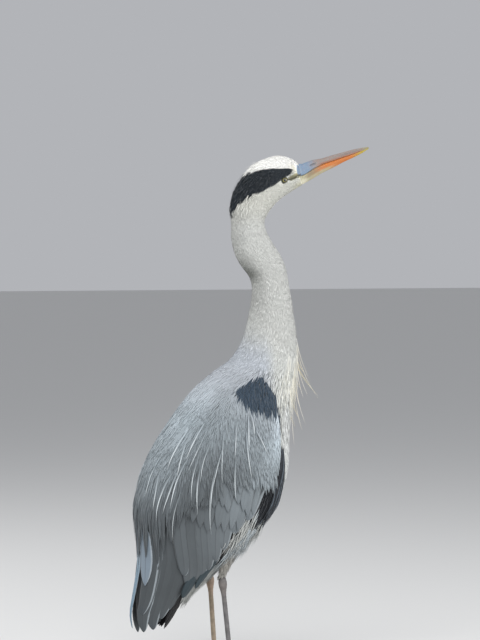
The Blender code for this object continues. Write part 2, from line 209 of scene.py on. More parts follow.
stripeShape = {   # the black stripe from over the eye to the nape, against s
    "low": ([688, 694, 702, 710, 718, 726, 736, 750, 763, 772, 780, 787, 792, 796],
            [0, 14, 27, 41, 56, 72, 87, 98, 101, 101.5, 102, 100, 94, 86]),
    "high": ([744, 752, 764, 781, 790, 796], [-8, 20, 47, 73, 80, 86]),
}
# where the black flank beside the wing's edge ends and the white breast starts: angle against s
flankEnd = ([180, 216, 250, 274, 300, 318, 330, 345, 366], [160, 167, 167, 160, 148, 140, 134, 132, 129])


def wingEdge(s):
    return np.interp(s, *wingShape["edge"])


def wingHigh(s, angle):
    inside = smooth((wingEdge(s) - np.abs(angle)) / 9)
    return np.interp(s, *wingShape["high"]) * inside


def blend(colour, other, share):
    # each colour is an array or the name of a hue
    colour, other = (hues[item] if isinstance(item, str) else item for item in (colour, other))
    share = np.asarray(share)[..., None]
    return colour * (1 - share) + other * share


def backColour(s, angle):
    a = np.abs(angle)
    dip = bell(a, wingTone["dipAngle"], 20) * past(s, 100, 50) * before(s, 330, 60)
    front = past(a, 96, 16) * past(s, 230, 60)
    back = before(a, 56, 30) * past(s, 150, 50) * before(s, 450, 90)
    rim = past(a, 107, 12) * past(s, 292, 40) * before(s, 392, 20)
    # the level's rise towards the shoulders: partly the feathers' grey, partly painted light
    level = (np.interp(s, *wingTone["level"]) - wingTone["dip"] * dip
             + wingTone["front"] * front + wingTone["back"] * back + wingTone["rim"] * rim)
    return linear(level * np.interp(s, *wingTone["red"]), level, level * wingTone["blue"])


def markings(s, angle):
    a = np.abs(((angle + 180) % 360) - 180)
    s, a = np.broadcast_arrays(np.asarray(s, float), a)
    colour = blend("undertail", "belly", past(s, 80, 70))
    colour = blend(colour, "breast", past(s, 250, 90))
    back = smooth((np.interp(s, [300, 420, 470, 510], [118, 112, 95, 78]) - a) / 26)
    colour = blend(colour, backColour(s, a), back * before(s, 530, 60))
    # the neck, darker behind: partly grey feathers and partly painted shade, most of it painted shade in the
    # hollow of its bend
    nape = 0.2 * past(s, 505, 50) * before(s, 705, 40) + 0.7 * bell(s, 603, 21)
    upward = smooth((s - 440 - 0.3 * np.maximum(90 - a, 0)) / np.interp(a, [60, 110], [80, 50]))
    colour = blend(colour, blend("neck", "hindNeckGreyAndShade", before(a, 76, 66) * nape), upward)
    pale = past(a, 150, 12) * past(s, 330, 60) * before(s, 700, 60)
    colour = blend(colour, "breast", pale)
    outer = np.interp(s, *flankEnd)
    white = smooth((a - outer - 1) / 5) * past(s, 285, 15) * before(s, 440, 30)
    colour = blend(colour, "whiteBreast", white)
    flank = smooth((outer - a) / 4) * past(a, 104, 8) * past(s, 178, 25) * before(s, 372, 8)
    colour = blend(colour, "flank", flank)
    # rows of black dashes down the front of the neck
    dash = bell(a, 172 + 3 * np.sin(s / 9), 3.0) * past(s, 450, 30) * before(s, 672, 30)
    colour = blend(colour, "black", 0.8 * dash * smooth((np.sin(s / 4.2) + 0.25) / 0.5))
    # head: white crown over the stripe, cream round the bill
    low, high = (np.interp(s, *stripeShape[key]) for key in ("low", "high"))
    face = blend("cheek", "chin", past(a, 125, 30) * past(s, 750, 40))
    face = blend(face, "crown", smooth(((low + high) / 2 - a) / 10 + 0.5) * past(s, 735, 8))
    face = blend(face, "brow", past(s, 790, 14) * past(a, 55, 25))
    face = blend(face, "chinEdge", 0.8 * past(s, 798, 12) * past(a, 96, 14))
    colour = blend(colour, face, past(s, 668, 45))
    stripe = smooth((low - a) / 4 + 0.5) * smooth((a - high) / 4 + 0.5)
    return blend(colour, "black", stripe * past(s, 688, 5) * before(s, 797, 3))


def carpalPatch(s, angle):
    a = np.abs(angle)
    low, high = (np.interp(a, patchShape["angle"], patchShape[key]) for key in ("low", "high"))
    return smooth((s - low) / 3 + 0.5) * smooth((high - s) / 3 + 0.5) * (a > 57) * (a < 127)


# making meshes from arrays
def placed(name, data):
    thing = bpy.data.objects.new(name, data)
    bpy.context.scene.collection.objects.link(thing)
    return thing


def paint(mesh, colours):
    layer = mesh.color_attributes.new("Tint", "FLOAT_COLOR", "POINT")
    colours = np.concatenate([colours, np.ones((len(colours), 1))], 1)
    layer.data.foreach_set("color", colours.astype(np.float32).ravel())


def meshPiece(name, points, quads, tris, material, tint=None, maps=(), rounded=None):
    # points (n, 3), quads (q, 4), tris (t, 3), tint (n, 3), maps name -> (corners, 2), rounded: smooth faces
    mesh = bpy.data.meshes.new(name)
    corners = np.concatenate([quads.ravel(), tris.ravel()]).astype(np.int32)
    mesh.vertices.add(len(points))
    mesh.vertices.foreach_set("co", points.astype(np.float32).ravel())
    mesh.loops.add(len(corners))
    mesh.loops.foreach_set("vertex_index", corners)
    mesh.polygons.add(len(quads) + len(tris))
    starts = np.concatenate([np.arange(len(quads)) * 4, len(quads) * 4 + np.arange(len(tris)) * 3])
    mesh.polygons.foreach_set("loop_start", starts.astype(np.int32))
    if rounded is None:
        rounded = np.ones(len(starts), bool)
    mesh.polygons.foreach_set("use_smooth", rounded)
    mesh.update(calc_edges=True)
    if tint is not None:
        paint(mesh, tint)
    for key, values in dict(maps).items():
        mesh.uv_layers.new(name=key).data.foreach_set("uv", values.astype(np.float32).ravel())
    mesh.materials.append(material)
    return placed(name, mesh)


def ringQuads(rings, sides, closed=False):
    # quads between rings of points, and on from the last ring to the first where closed
    k, r = np.arange(rings - (not closed))[:, None], np.arange(sides)[None]
    following, after = (k + 1) % rings * sides, (r + 1) % sides
    return np.stack([k * sides + r, following + r, following + after, k * sides + after], -1)


# cross sections of a vane, as (across, height) round it
thinSection = [(-1, 0), (0, 1), (1, 0)]
vaneSection = [(-1, 0), (-0.5, 0.7), (0, 1), (0.5, 0.7), (1, 0), (0, 0.1)]
broadSection = [(-1, 0), (-0.72, 0.42), (-0.4, 0.74), (-0.07, 0.9), (0, 1.15), (0.07, 0.9),
                (0.4, 0.74), (0.72, 0.42), (1, 0), (0.4, 0.3), (0, 0.45), (-0.4, 0.3)]
profiles = {   # a vane's half width from root to tip: start, rise, curve, fullness, closing and scale
    "lance": (0, 0.16, 0.8, 1, 0.62, 1.05), "hair": (0, 0.2, 0.7, 1.6, 0.9, 1),
    "flight": (0.55, 0.5, 1, 9, 0.6, 1), "gothic": (0.4, 0.4, 1, 6, 0.95, 1),
    "pointed": (0.4, 0.4, 1, 3.4, 0.85, 1),
}


def vaneShape(kind, camber, stations, section=thinSection):
    return {"kind": kind, "camber": camber, "stations": np.array(stations, float),
            "section": np.array(section, float)}


def profileOf(kind, u):
    start, rise, curve, fullness, closing, scale = profiles[kind]
    return np.minimum(1, start + (u / rise) ** curve) * np.clip(1 - u**fullness, 0, 1) ** closing * scale


def vaneSet(root, tip, width, off, tint, bow=None, fat=1.0):
    # arrays for many vanes. root and tip are places, off and tint hold a value for root and tip, bow bends
    # them aside, fat scales their camber
    values = {"rootS": root[0], "rootA": root[1], "tipS": tip[0], "tipA": tip[1], "width": width,
              "outRoot": off[0], "outTip": off[1], "fat": fat}
    if bow is not None:
        values["bow"] = bow
    count = len(root[0])
    vanes = {key: np.array(np.broadcast_to(value, count), float) for key, value in values.items()}
    vanes["tint"], vanes["tintTip"] = (np.array(np.broadcast_to(value, (count, 3))) for value in tint)
    return vanes


def surfaceScale(surface, s, a, out):
    # mm along the surface for a step of 1 in s, and in a
    steps = (surface(s + 1, a, out) - surface(s - 1, a, out), surface(s, a + 1, out) - surface(s, a - 1, out))
    return [np.linalg.norm(step, axis=-1) / 2 / mm for step in steps]


def layVanes(name, vanes, shape, finish, ground=bodyGround):
    # one joined mesh of closed vanes that lie along a surface
    surface, spread = ground
    section, u = shape["section"], shape["stations"]
    count, rings, sides = len(vanes["rootS"]), len(u), len(section)
    wide = np.maximum(profileOf(shape["kind"], u), 0.04)

    def along(key, power=1.0):
        start, end = vanes[key[0]][:, None], vanes[key[1]][:, None]
        return start + (end - start) * u ** power

    s = along(("rootS", "tipS"))
    a = along(("rootA", "tipA")) + vanes.get("bow", np.zeros(count))[:, None] * np.sin(np.pi * u)
    out = along(("outRoot", "outTip"), shape.get("rise", 1.0))
    scaleS, scaleA = surfaceScale(surface, s, a, out)
    scaleS, scaleA = np.maximum(scaleS, 0.25), np.maximum(scaleA, 0.08)
    ds, da = np.gradient(s, axis=1) * scaleS, np.gradient(a, axis=1) * scaleA
    length = np.maximum(np.hypot(ds, da), 1e-6)
    across, height = section[:, 0], section[:, 1]
    lateral = (vanes["width"][:, None] * wide / length)[:, :, None] * across
    spotS = s[:, :, None] - (da / scaleS)[:, :, None] * lateral
    spotA = a[:, :, None] + (ds / scaleA)[:, :, None] * lateral
    camber = shape["camber"] * vanes["fat"][:, None] * np.sqrt(wide)
    points = surface(spotS, spotA, out[:, :, None] + camber[:, :, None] * height).reshape(-1, 3)
    # faces wound to point outwards: quads round the vane, and a fan at each end
    base = (np.arange(count) * rings * sides)[:, None, None]
    quads = base[..., None] + ringQuads(rings, sides)
    rootFan = np.array([(0, i, i + 1) for i in range(1, sides - 1)])
    fans = np.concatenate([rootFan, rootFan[:, ::-1]])
    atEnd = np.arange(len(fans)) >= len(rootFan)
    caps = base + (fans + atEnd[:, None] * (rings - 1) * sides)[None]
    # corner maps. Vane: across and along each vane. OFBake: a small patch for each vane, at its root
    ringAt = (np.arange(sides)[:, None] + np.array([0, 0, 1, 1])) % (sides + 1)
    alongAt = u[np.arange(rings - 1)[:, None] + np.array([0, 1, 1, 0])]
    capAlong = np.where(atEnd[:, None], 0.97, 0.03) + np.array([-0.02, 0.02, 0.0])

    def corners(acrossQuads, acrossCaps):
        quadPart = np.stack(np.broadcast_arrays(acrossQuads[None, :, :], alongAt[:, None, :]), -1)
        return quadPart.reshape(-1, 2), np.stack([acrossCaps, capAlong], -1).reshape(-1, 2)

    size = shape.get("patch", 0.003)
    root = np.stack([(vanes["rootA"] - spread[0]) / spread[1], (vanes["rootS"] - spread[2]) / spread[3]], -1)
    bake = [(root[:, None] + size * (part[None] - 0.5)).reshape(-1, 2)
            for part in corners(ringAt / sides, fans / sides)]
    side01 = (1 - shape.get("flip", 1) * across) / 2
    vane = [np.tile(part, (count, 1)) for part in corners(side01[ringAt % sides], side01[fans])]
    change = smooth((u - shape.get("tintFrom", 0.1)) / 0.6)[None, :, None, None]
    tint = vanes["tint"][:, None, None] + (vanes["tintTip"] - vanes["tint"])[:, None, None] * change
    tint = np.broadcast_to(tint, (count, rings, sides, 3)).reshape(-1, 3)
    # the underside is flat shaded, so that a vane is lit evenly out to its edges
    above = np.broadcast_to(across < np.roll(across, -1), (count, rings - 1, sides)).ravel()
    rounded = np.concatenate([above, np.zeros(count * len(fans), bool)])
    return meshPiece(name, points, quads.reshape(-1, 4), caps.reshape(-1, 3), feather[finish], tint,
                     {"OFBake": np.concatenate(bake), "Vane": np.concatenate(vane)}, rounded)


def faceOutwards(thing):
    shape = bmesh.new()
    shape.from_mesh(thing.data)
    if shape.calc_volume(signed=True) < 0:
        bmesh.ops.reverse_faces(shape, faces=shape.faces)
    shape.to_mesh(thing.data)
    shape.free()
    return thing


def loft(name, rings, material, tint=None):
    # a closed skin through rings of points (rings, sides, 3), with a fan at each end
    count, sides = rings.shape[:2]

    def capped(values):
        return np.concatenate([values.reshape(-1, 3), values[0].mean(0)[None], values[-1].mean(0)[None]])

    spin = np.arange(sides)
    after, last = (spin + 1) % sides, (count - 1) * sides
    tris = np.concatenate([np.stack([spin, after, np.full(sides, count * sides)], -1),
                           np.stack([last + after, last + spin, np.full(sides, count * sides + 1)], -1)])
    return faceOutwards(meshPiece(name, capped(rings), ringQuads(count, sides).reshape(-1, 4), tris, material,
                                  None if tint is None else capped(np.broadcast_to(tint, rings.shape))))


def applied(thing, kind, **settings):
    modifier = thing.modifiers.new(kind.lower(), kind)
    for key, value in settings.items():
        setattr(modifier, key, value)
    bpy.context.view_layer.objects.active = thing
    bpy.ops.object.modifier_apply(modifier=modifier.name)


def ready(piece, slot, *nodes):
    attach(piece, "root")
    if nodes:
        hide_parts(*nodes)
    return piece


def scatter(rng, values, surface=bodyPoint):
    # staggered rows of places, evenly spaced round the body: values gives low and high, rows and gap in mm,
    # and how far round they reach
    places, jitter = [], 0.35
    fine = np.linspace(*values.get("round", (-180, 180)), 361)
    for row, s in enumerate(np.arange(values["low"], values["high"], values["rows"])):
        run = arcLength(surface(np.full(361, s), fine, np.zeros(361)))
        count = max(int(run[-1] / values["gap"]), 1)
        at = (np.arange(count) + 0.5 * (row % 2) + rng.uniform(-jitter, jitter, count)) * run[-1] / count
        here = np.interp(np.clip(at, 0, run[-1]), run, fine)
        places.append(np.stack([s + rng.uniform(-jitter, jitter, count) * values["rows"], here], -1))
    return np.concatenate(places).T


def draw(rng, values, count, *keys):
    # an array for each key, between the two values that the dictionary gives for it
    return [rng.uniform(*values[key], count) for key in keys]


# finishes
def newMaterial(name, roughness, **sockets):
    material = bpy.data.materials.new(name)
    material.use_nodes = True
    shader = material.node_tree.nodes["Principled BSDF"]
    for key, value in dict(sockets, Roughness=roughness).items():
        shader.inputs[key.replace("_", " ")].default_value = value
    return material, material.node_tree, shader


def feed(tree, sockets, values):
    # links a value that comes out of a node, and sets any other
    for socket, value in zip(sockets, values):
        if isinstance(value, bpy.types.NodeSocket):
            tree.links.new(value, socket)
        else:
            socket.default_value = value


def mathNode(tree, operation, *values):
    node = tree.nodes.new("ShaderNodeMath")
    node.operation = operation
    feed(tree, node.inputs, values)
    return node.outputs[0]


def mixIn(tree, colour, hue, share):
    node = tree.nodes.new("ShaderNodeMix")
    node.data_type, node.clamp_factor = "RGBA", True
    feed(tree, [node.inputs[key] for key in ("Factor", "A", "B")], (share, colour, (*hues[hue], 1)))
    return node.outputs["Result"]


def rampNode(tree, value, low, high):
    node = tree.nodes.new("ShaderNodeMapRange")
    node.interpolation_type = "SMOOTHSTEP"
    feed(tree, [node.inputs[key] for key in ("Value", "From Min", "From Max")], (value, low, high))
    return node.outputs["Result"]


def texture(tree, kind, scale, vector=None, detail=None):
    # over the object's own place unless another vector is given
    node = tree.nodes.new("ShaderNodeTex" + kind)
    node.inputs["Scale"].default_value = scale
    if detail is not None:
        node.inputs["Detail"].default_value = detail
    if vector is None:
        vector = tree.nodes.new("ShaderNodeTexCoord").outputs["Object"]
    tree.links.new(vector, node.inputs["Vector"])
    return node


def tinted(tree, shade):
    # the Tint attribute, lighter and darker by shade
    tint, whole = tree.nodes.new("ShaderNodeAttribute"), tree.nodes.new("ShaderNodeVectorMath")
    tint.attribute_name, whole.operation = "Tint", "SCALE"
    feed(tree, (whole.inputs[0], whole.inputs["Scale"]), (tint.outputs["Color"], shade))
    return whole.outputs[0]


def finished(tree, shader, colour, height, strength, distance=0.0004):
    bump = tree.nodes.new("ShaderNodeBump")
    feed(tree, [bump.inputs[key] for key in ("Strength", "Distance", "Height")], (strength, distance, height))
    feed(tree, (shader.inputs["Base Color"], shader.inputs["Normal"]), (colour, bump.outputs[0]))


def featherFinish(name, finish):
    # barbs slanting from the shaft to the edge, a shaft, a darker band round the edge that is partly frayed
    # wear and partly painted shadow, and a paler outer margin
    material, tree, shader = newMaterial(name, finish["roughness"], Sheen_Weight=finish["sheen"],
                                         Sheen_Roughness=0.5, Specular_IOR_Level=0.25)
    vane, part = tree.nodes.new("ShaderNodeUVMap"), tree.nodes.new("ShaderNodeSeparateXYZ")
    vane.uv_map = "Vane"
    tree.links.new(vane.outputs[0], part.inputs[0])
    across, along = part.outputs[0], part.outputs[1]
    fromShaft = mathNode(tree, "ABSOLUTE", mathNode(tree, "MULTIPLY_ADD", across, 2.0, -1.0))
    slant = mathNode(tree, "MULTIPLY_ADD", fromShaft, -finish["slant"], along)
    coarse = texture(tree, "Noise", finish["blotch"]).outputs["Fac"]
    barb = tree.nodes.new("ShaderNodeCombineXYZ")
    scales = ((slant, finish["barbs"]), (fromShaft, 1.2), (coarse, 9.0))
    feed(tree, barb.inputs, [mathNode(tree, "MULTIPLY", value, scale) for value, scale in scales])
    streak = texture(tree, "Noise", 1.0, barb.outputs[0], 3.0).outputs["Fac"]
    shade = mathNode(tree, "MULTIPLY_ADD", streak, finish["streak"], 1 - finish["streak"] / 2)
    patchy = mathNode(tree, "MULTIPLY_ADD", coarse, finish["patchy"], 1 - finish["patchy"] / 2)
    colour = tinted(tree, mathNode(tree, "MULTIPLY", shade, patchy))
    # darker band at the sides and the end: partly frayed wear, partly painted shadow along the feather's edge
    if finish["fringe"]:
        sides, end = rampNode(tree, fromShaft, 0.7, 1.0), rampNode(tree, along, 0.90, 1.0)
        edge = mathNode(tree, "MULTIPLY", mathNode(tree, "MAXIMUM", sides, end), finish["fringe"])
        colour = mixIn(tree, colour, "fringe", edge)
    if finish["margin"]:
        edge = mathNode(tree, "MULTIPLY", rampNode(tree, across, 0.86, 0.93), finish["margin"])
        colour = mixIn(tree, colour, "margin", edge)
    if finish["shaft"]:
        line = mathNode(tree, "LESS_THAN", fromShaft, 0.05)
        colour = mixIn(tree, colour, "shaft", mathNode(tree, "MULTIPLY", line, finish["shaft"]))
    finished(tree, shader, colour, streak, finish["bump"])
    return material


finishKeys = "roughness sheen slant barbs blotch streak patchy fringe margin shaft bump".split()
finishRows = {
    "down": (0.85, 0.15, 0.5, 5, 60, 0.10, 0.06, 0, 0, 0, 0.2),
    "mantle": (0.75, 0.15, 0.3, 9, 45, 0.14, 0.10, 0, 0, 0, 0.25),
    "lance": (0.62, 0.12, 0.3, 40, 35, 0.16, 0.12, 0.35, 0.15, 0.3, 0.3),
    "covert": (0.62, 0.15, 0.45, 40, 35, 0.14, 0.16, 0.2, 0, 0.12, 0.3),
    "quill": (0.55, 0.1, 0.35, 90, 25, 0.12, 0.16, 0.25, 0.7, 0.4, 0.3),
    "plume": (0.5, 0.15, 0.3, 30, 30, 0.10, 0.08, 0, 0, 0, 0.2),
    "dark": (0.55, 0.05, 0.4, 24, 45, 0.22, 0.2, 0, 0.12, 0.2, 0.3),
}
feather = {key: featherFinish(key + "Feather", dict(zip(finishKeys, row))) for key, row in finishRows.items()}
print("finishes made for", ", ".join(feather))


# skin: one closed form for trunk, neck and head, with the thighs joined to it
skinForm = {
    "lowest": 54, "highest": 810, "bodyStep": 4.0, "headStep": 0.9, "headFrom": 700, "around": 128,
    "coat": ([50, 200, 420, 520, 690, 760, 812], [5.0, 5.0, 3.4, 2.0, 1.7, 1.2, 0.9]),
    "socket": 6.4, "socketEdge": 2.2, "socketDeep": 2.6,
}
eyeForm = {"forward": 106.5, "up": 762.5, "side": 12.9, "ball": 6.4, "opening": 3.7, "tall": 0.80,
           "lean": 0.3, "rings": 72, "roll": 16}
faceForm = {   # the bare lore between two angles, the gape's line against s, where the bill's horn ends
    "loreS": [770, 778, 785, 796, 806, 813], "loreLow": [108, 107, 105, 101, 93, 84],
    "loreHigh": [117, 120, 121, 119, 110, 99],
    "gape": ([754, 762, 770, 777, 786, 794, 806, 812], [108, 110, 113, 115.5, 116.5, 113.5, 104, 93]),
    "horn": ([40, 70, 105], [808, 804, 798]),
}
legForm = {
    "bodyEnd": 0.72, "spread": 28.0, "hipOut": 4, "hipForward": 26.0, "hipUp": 236.0, "ankleUp": 150.0,
    "footUp": 14.0, "thigh": (30, 1.6, 6.2), "thighWide": (18, 1.5, 5.6),     # swell, its power, at the ankle
    "legs": {"left": {"side": 1, "ankle": -1.5, "foot": 8.0},
             "right": {"side": -1, "ankle": -3.0, "foot": 12.0}},
}


def eyeAway(points, side):
    return points / mm - np.array([side * eyeForm["side"], middle - eyeForm["forward"], eyeForm["up"]])


def bareFace(s, angle):
    a = np.abs(angle)
    low, high = (np.interp(s, faceForm["loreS"], faceForm[key]) for key in ("loreLow", "loreHigh"))
    return smooth((a - low) / 4 + 0.5) * smooth((high + 1 - a) / 4 + 0.5) * past(s, 772, 4)


def gapeLine(s, angle, wide):
    return bell(np.abs(angle), np.interp(s, *faceForm["gape"]), wide) * past(s, 755, 8)


def billSide(s, angle):
    a = np.abs(angle)
    start = np.interp(a, *faceForm["horn"])
    return smooth((s - start) / 3) * past(a, 42, 10) * before(a, 108, 8)


def skinColour(s, angle):
    colour = blend(markings(s, angle), "lore", bareFace(s, angle))
    colour = blend(colour, "gape", 0.6 * bell(s, 782, 11) * bell(np.abs(angle), 109, 8))
    colour = blend(colour, "billBase", billSide(s, angle))
    return blend(colour, "gape", 0.95 * gapeLine(s, angle, 3.4))


def skinOut(s, angle):
    # inside the coat by its depth, out to the surface at the bare face, with folds there
    a = np.abs(angle)
    out = -np.interp(s, *skinForm["coat"])
    out = out + (0.1 - out) * bareFace(s, angle) - 0.8 * gapeLine(s, angle, 1.8)
    folds = np.sin(a * 1.1 + s * 0.9) * 0.16 + np.sin(a * 0.37 - s * 1.3) * 0.12
    return out + folds * bareFace(s, angle)


def legPoint(forward, side, up):
    return np.array([side, middle - forward, up])


def legEnds(leg):
    side = leg["side"] * legForm["spread"]
    hip = legPoint(legForm["hipForward"], side + leg["side"] * legForm["hipOut"], legForm["hipUp"])
    ankle = legPoint(leg["ankle"], side, legForm["ankleUp"])
    return hip, ankle, legPoint(leg["foot"], side, legForm["footUp"])


def thighSurface(leg):
    hip, ankle, foot = legEnds(leg)
    length = np.linalg.norm(ankle - hip)

    def surface(s, angle, out):
        # s mm up from the ankle along the tibia, so that feathers point down it as they do on the body
        toHip = np.asarray(s, float)[..., None] / length
        centre = hip + (ankle - hip) * (1 - toHip)
        heading = (ankle - hip) * (1 - (1 - toHip)**2) + (foot - ankle) * (1 - toHip)**2
        heading = heading / np.linalg.norm(heading, axis=-1, keepdims=True)
        rise = np.cross(heading, np.array([1.0, 0, 0]))
        rise = rise / np.linalg.norm(rise, axis=-1, keepdims=True)
        deep, wide = (swell * np.clip(toHip[..., 0], 0, 1) ** power + thin
                      for swell, power, thin in (legForm["thigh"], legForm["thighWide"]))
        turn = np.radians(angle)
        return (centre + rise * ((deep + out) * np.sin(turn))[..., None]
                + np.cross(rise, heading) * ((wide + out) * np.cos(turn))[..., None]) * mm

    return surface, length


def makeSkin():
    s = np.concatenate([np.arange(skinForm["lowest"], skinForm["headFrom"], skinForm["bodyStep"]),
                        np.arange(skinForm["headFrom"], skinForm["highest"], skinForm["headStep"])])
    s, angle = np.meshgrid(s, np.linspace(-180, 180, skinForm["around"], endpoint=False), indexing="ij")
    rings = bodyPoint(s, angle, skinOut(s, angle))
    # the eye's socket: a shallow bowl round each eyeball
    for _, side in bothSides:
        away = eyeAway(rings, side)
        near = np.hypot(away[..., 1], away[..., 2])
        bowl = skinForm["socketDeep"] * smooth((skinForm["socket"] - near) / skinForm["socketEdge"])
        rings[..., 0] -= side * mm * bowl * (np.sign(rings[..., 0]) == side)
    skin = loft("skin", rings, skinMaterial, skinColour(s, angle))
    for name, leg in legForm["legs"].items():
        surface, length = thighSurface(leg)
        along, turn = np.meshgrid(np.linspace(length * legForm["bodyEnd"], 0, 22),
                                  np.linspace(0, 360, 32, endpoint=False), indexing="ij")
        rings = surface(along, turn, 1.8 * smooth(1 - along / 18) - 2.5)
        thigh = loft("tibia_" + name, rings, skinMaterial, hues["tibia"])
        applied(skin, "BOOLEAN", operation="UNION", solver="EXACT", object=thigh)
        bpy.data.objects.remove(thigh)
    return skin


def skinFinish():
    material, tree, shader = newMaterial("skinFinish", 0.6, Subsurface_Weight=0.05, Specular_IOR_Level=0.35)
    blotch = texture(tree, "Noise", 220, detail=4).outputs["Fac"]
    colour = tinted(tree, mathNode(tree, "MULTIPLY_ADD", blotch, 0.24, 0.88))
    finished(tree, shader, colour, texture(tree, "Voronoi", 900).outputs["Distance"], 0.4)
    return material


skinMaterial = skinFinish()
skin = ready(makeSkin(), "neck_plumage", "trunk", "neck_lower", "neck_middle", "neck_upper", "head",
             "thigh_left", "thigh_right")
print("skin made:", len(skin.data.polygons), "faces")

# small feathers of head, neck and body. Root and tip are how far off they lie, loose the spread of the tips
shortStations, longStations = [0, 0.3, 0.68, 1], [0, 0.25, 0.5, 0.78, 1]
looks = {
    "head": {"width": 1.15, "root": -1.0, "tip": 0.0, "loose": 0.25, "wander": 6, "uneven": 0.015,
             "rootShade": 1.0, "shape": vaneShape("hair", 0.13, shortStations)},
    "neck": {"width": 1.5, "root": -0.9, "tip": -0.1, "loose": 0.05, "wander": 2.5, "uneven": 0.012,
             "rootShade": 1.0, "shape": vaneShape("hair", 0.04, shortStations)},
    "breast": {"width": 2.4, "root": -3.5, "tip": 0.2, "loose": 1.3, "wander": 6, "uneven": 0.03,
               "rootShade": 0.93, "shape": vaneShape("lance", 0.4, longStations)},
    "mantle": {"width": 1.9, "root": -2.0, "tip": 0.1, "loose": 0.35, "wander": 4, "uneven": 0.03,
               "rootShade": 0.93, "shape": vaneShape("hair", 0.22, longStations)},
}


def coat(name, finish, rng, s, a, look, length, ground=bodyGround, high=None, colours=markings):
    count = len(s)
    length = length * rng.uniform(0.82, 1.18, count)
    flow = look.get("flow", 0.0) + rng.normal(0, look["wander"], count)
    scaleS, scaleA = surfaceScale(ground[0], s, a, np.zeros(count))
    turn = np.radians(flow) * np.where(a >= 0, 1, -1)
    tipS = s - length * np.cos(turn) / np.maximum(scaleS, 0.3)
    tipA = a + length * np.sin(turn) / np.maximum(scaleA, 0.1)
    level = 0 if high is None else high(s, a)
    tint = colours(s * 0.35 + tipS * 0.65, a * 0.35 + tipA * 0.65)
    tint = tint * (1 + rng.normal(0, look["uneven"], count)[:, None])
    width = look["width"] * rng.uniform(0.8, 1.2, count)
    off = level + look["tip"] + rng.uniform(0, look["loose"], count) + look.get("lift", 0)
    tints = (np.clip(tint * look["rootShade"], 0, 1), np.clip(tint, 0, 1))
    vanes = vaneSet((s, a), (tipS, tipA), width, (level + look["root"], off), tints, fat=look.get("fat", 1.0))
    return layVanes(name, vanes, look["shape"], finish, ground)


headForm = {"low": 702, "high": 812, "rows": 1.85, "gap": 1.28, "clear": 5.5,
            "length": ([690, 740, 790, 812], [12, 9.0, 6.0, 4.5]), "crown": 1.3, "raised": 5.5}


def headFeathers():
    rng = np.random.default_rng(11)
    s, a = scatter(rng, headForm)
    away = eyeAway(bodyPoint(s, np.abs(a), np.zeros(len(s))), 1)
    clear = np.hypot(away[:, 1], away[:, 2]) > headForm["clear"]
    keep = clear & (bareFace(s, a) < 0.35) & (billSide(s, a) < 0.4)
    s, a = s[keep], a[keep]
    crown = (np.abs(a) < 80) & (s < 776)
    length = np.interp(s, *headForm["length"]) * np.where(crown, headForm["crown"], 1.0)
    lift = np.where(crown, rng.uniform(0, 1, len(s)) ** 9 * headForm["raised"], 0)
    return coat("coat_head", "down", rng, s, a, dict(looks["head"], lift=lift), length)


neckForm = {"parts": ((452, 570), (570, 714)), "rows": 2.4, "gap": 1.34,
            "length": ([450, 520, 690, 720], [24, 19, 14, 12])}
ready(headFeathers(), "crown_plumage")
for index, (low, high) in enumerate(neckForm["parts"]):
    rng = np.random.default_rng(21 + index)
    s, a = scatter(rng, dict(neckForm, low=low, high=high))
    length = np.interp(s, *neckForm["length"])
    ready(coat(f"coat_neck_{index + 1}", "down", rng, s, a, looks["neck"], length), "neck_plumage")
print("head and neck feathered")

breastForm = {"low": 84, "high": 462, "rows": 5.0, "gap": 3.0, "length": 30, "bellyLonger": 12,
              "bellyLift": 9.0, "fat": ([300, 400], [1, 0.35])}


def bodyFeathers():
    rng = np.random.default_rng(31)
    s, a = scatter(rng, breastForm)
    keep = (np.abs(a) > np.minimum(wingEdge(s) - 4, 119)) | (s > 425)
    s, a = s[keep], a[keep]
    tucked = smooth((wingEdge(s) + 14 - np.abs(a)) / 8) * before(s, 400, 30)
    belly = before(s, 250, 60) * past(s, 130, 30)
    loose = smooth((np.abs(a) - 120) / 20) * rng.uniform(0, 1, len(s)) ** 2
    lift, tip = breastForm["bellyLift"] * belly * loose, 0.2 + 2.0 * belly * (1 - tucked) - 1.6 * tucked
    look = dict(looks["breast"], fat=np.interp(s, *breastForm["fat"]), lift=lift, tip=tip)
    length = breastForm["length"] + breastForm["bellyLonger"] * belly
    return coat("coat_breast", "down", rng, s, a, look, length)


ready(bodyFeathers(), "belly_plumage")


# the folded wings. Their feathers are laid by s, mm up from the wing tips, and t, mm round from the back
def wingLevel(s, t):
    return wingHigh(s, angleAt(s, t))


def wingTint(s, t):
    # the grey of the wing and the back, with the blue-black patch at the bend
    angle = angleAt(s, t)
    top = blend(backColour(s, angle), markings(s, angle), past(s, 380, 50))
    return blend(top, "carpal", carpalPatch(s, angle))


def drift(s, t):
    # mm round per mm down: feathers fan out towards the bend of the wing and run straight below it
    return 0.6 * past(s, 215, 70) * past(t, 55, 45) - 0.06 * before(s, 230, 40)


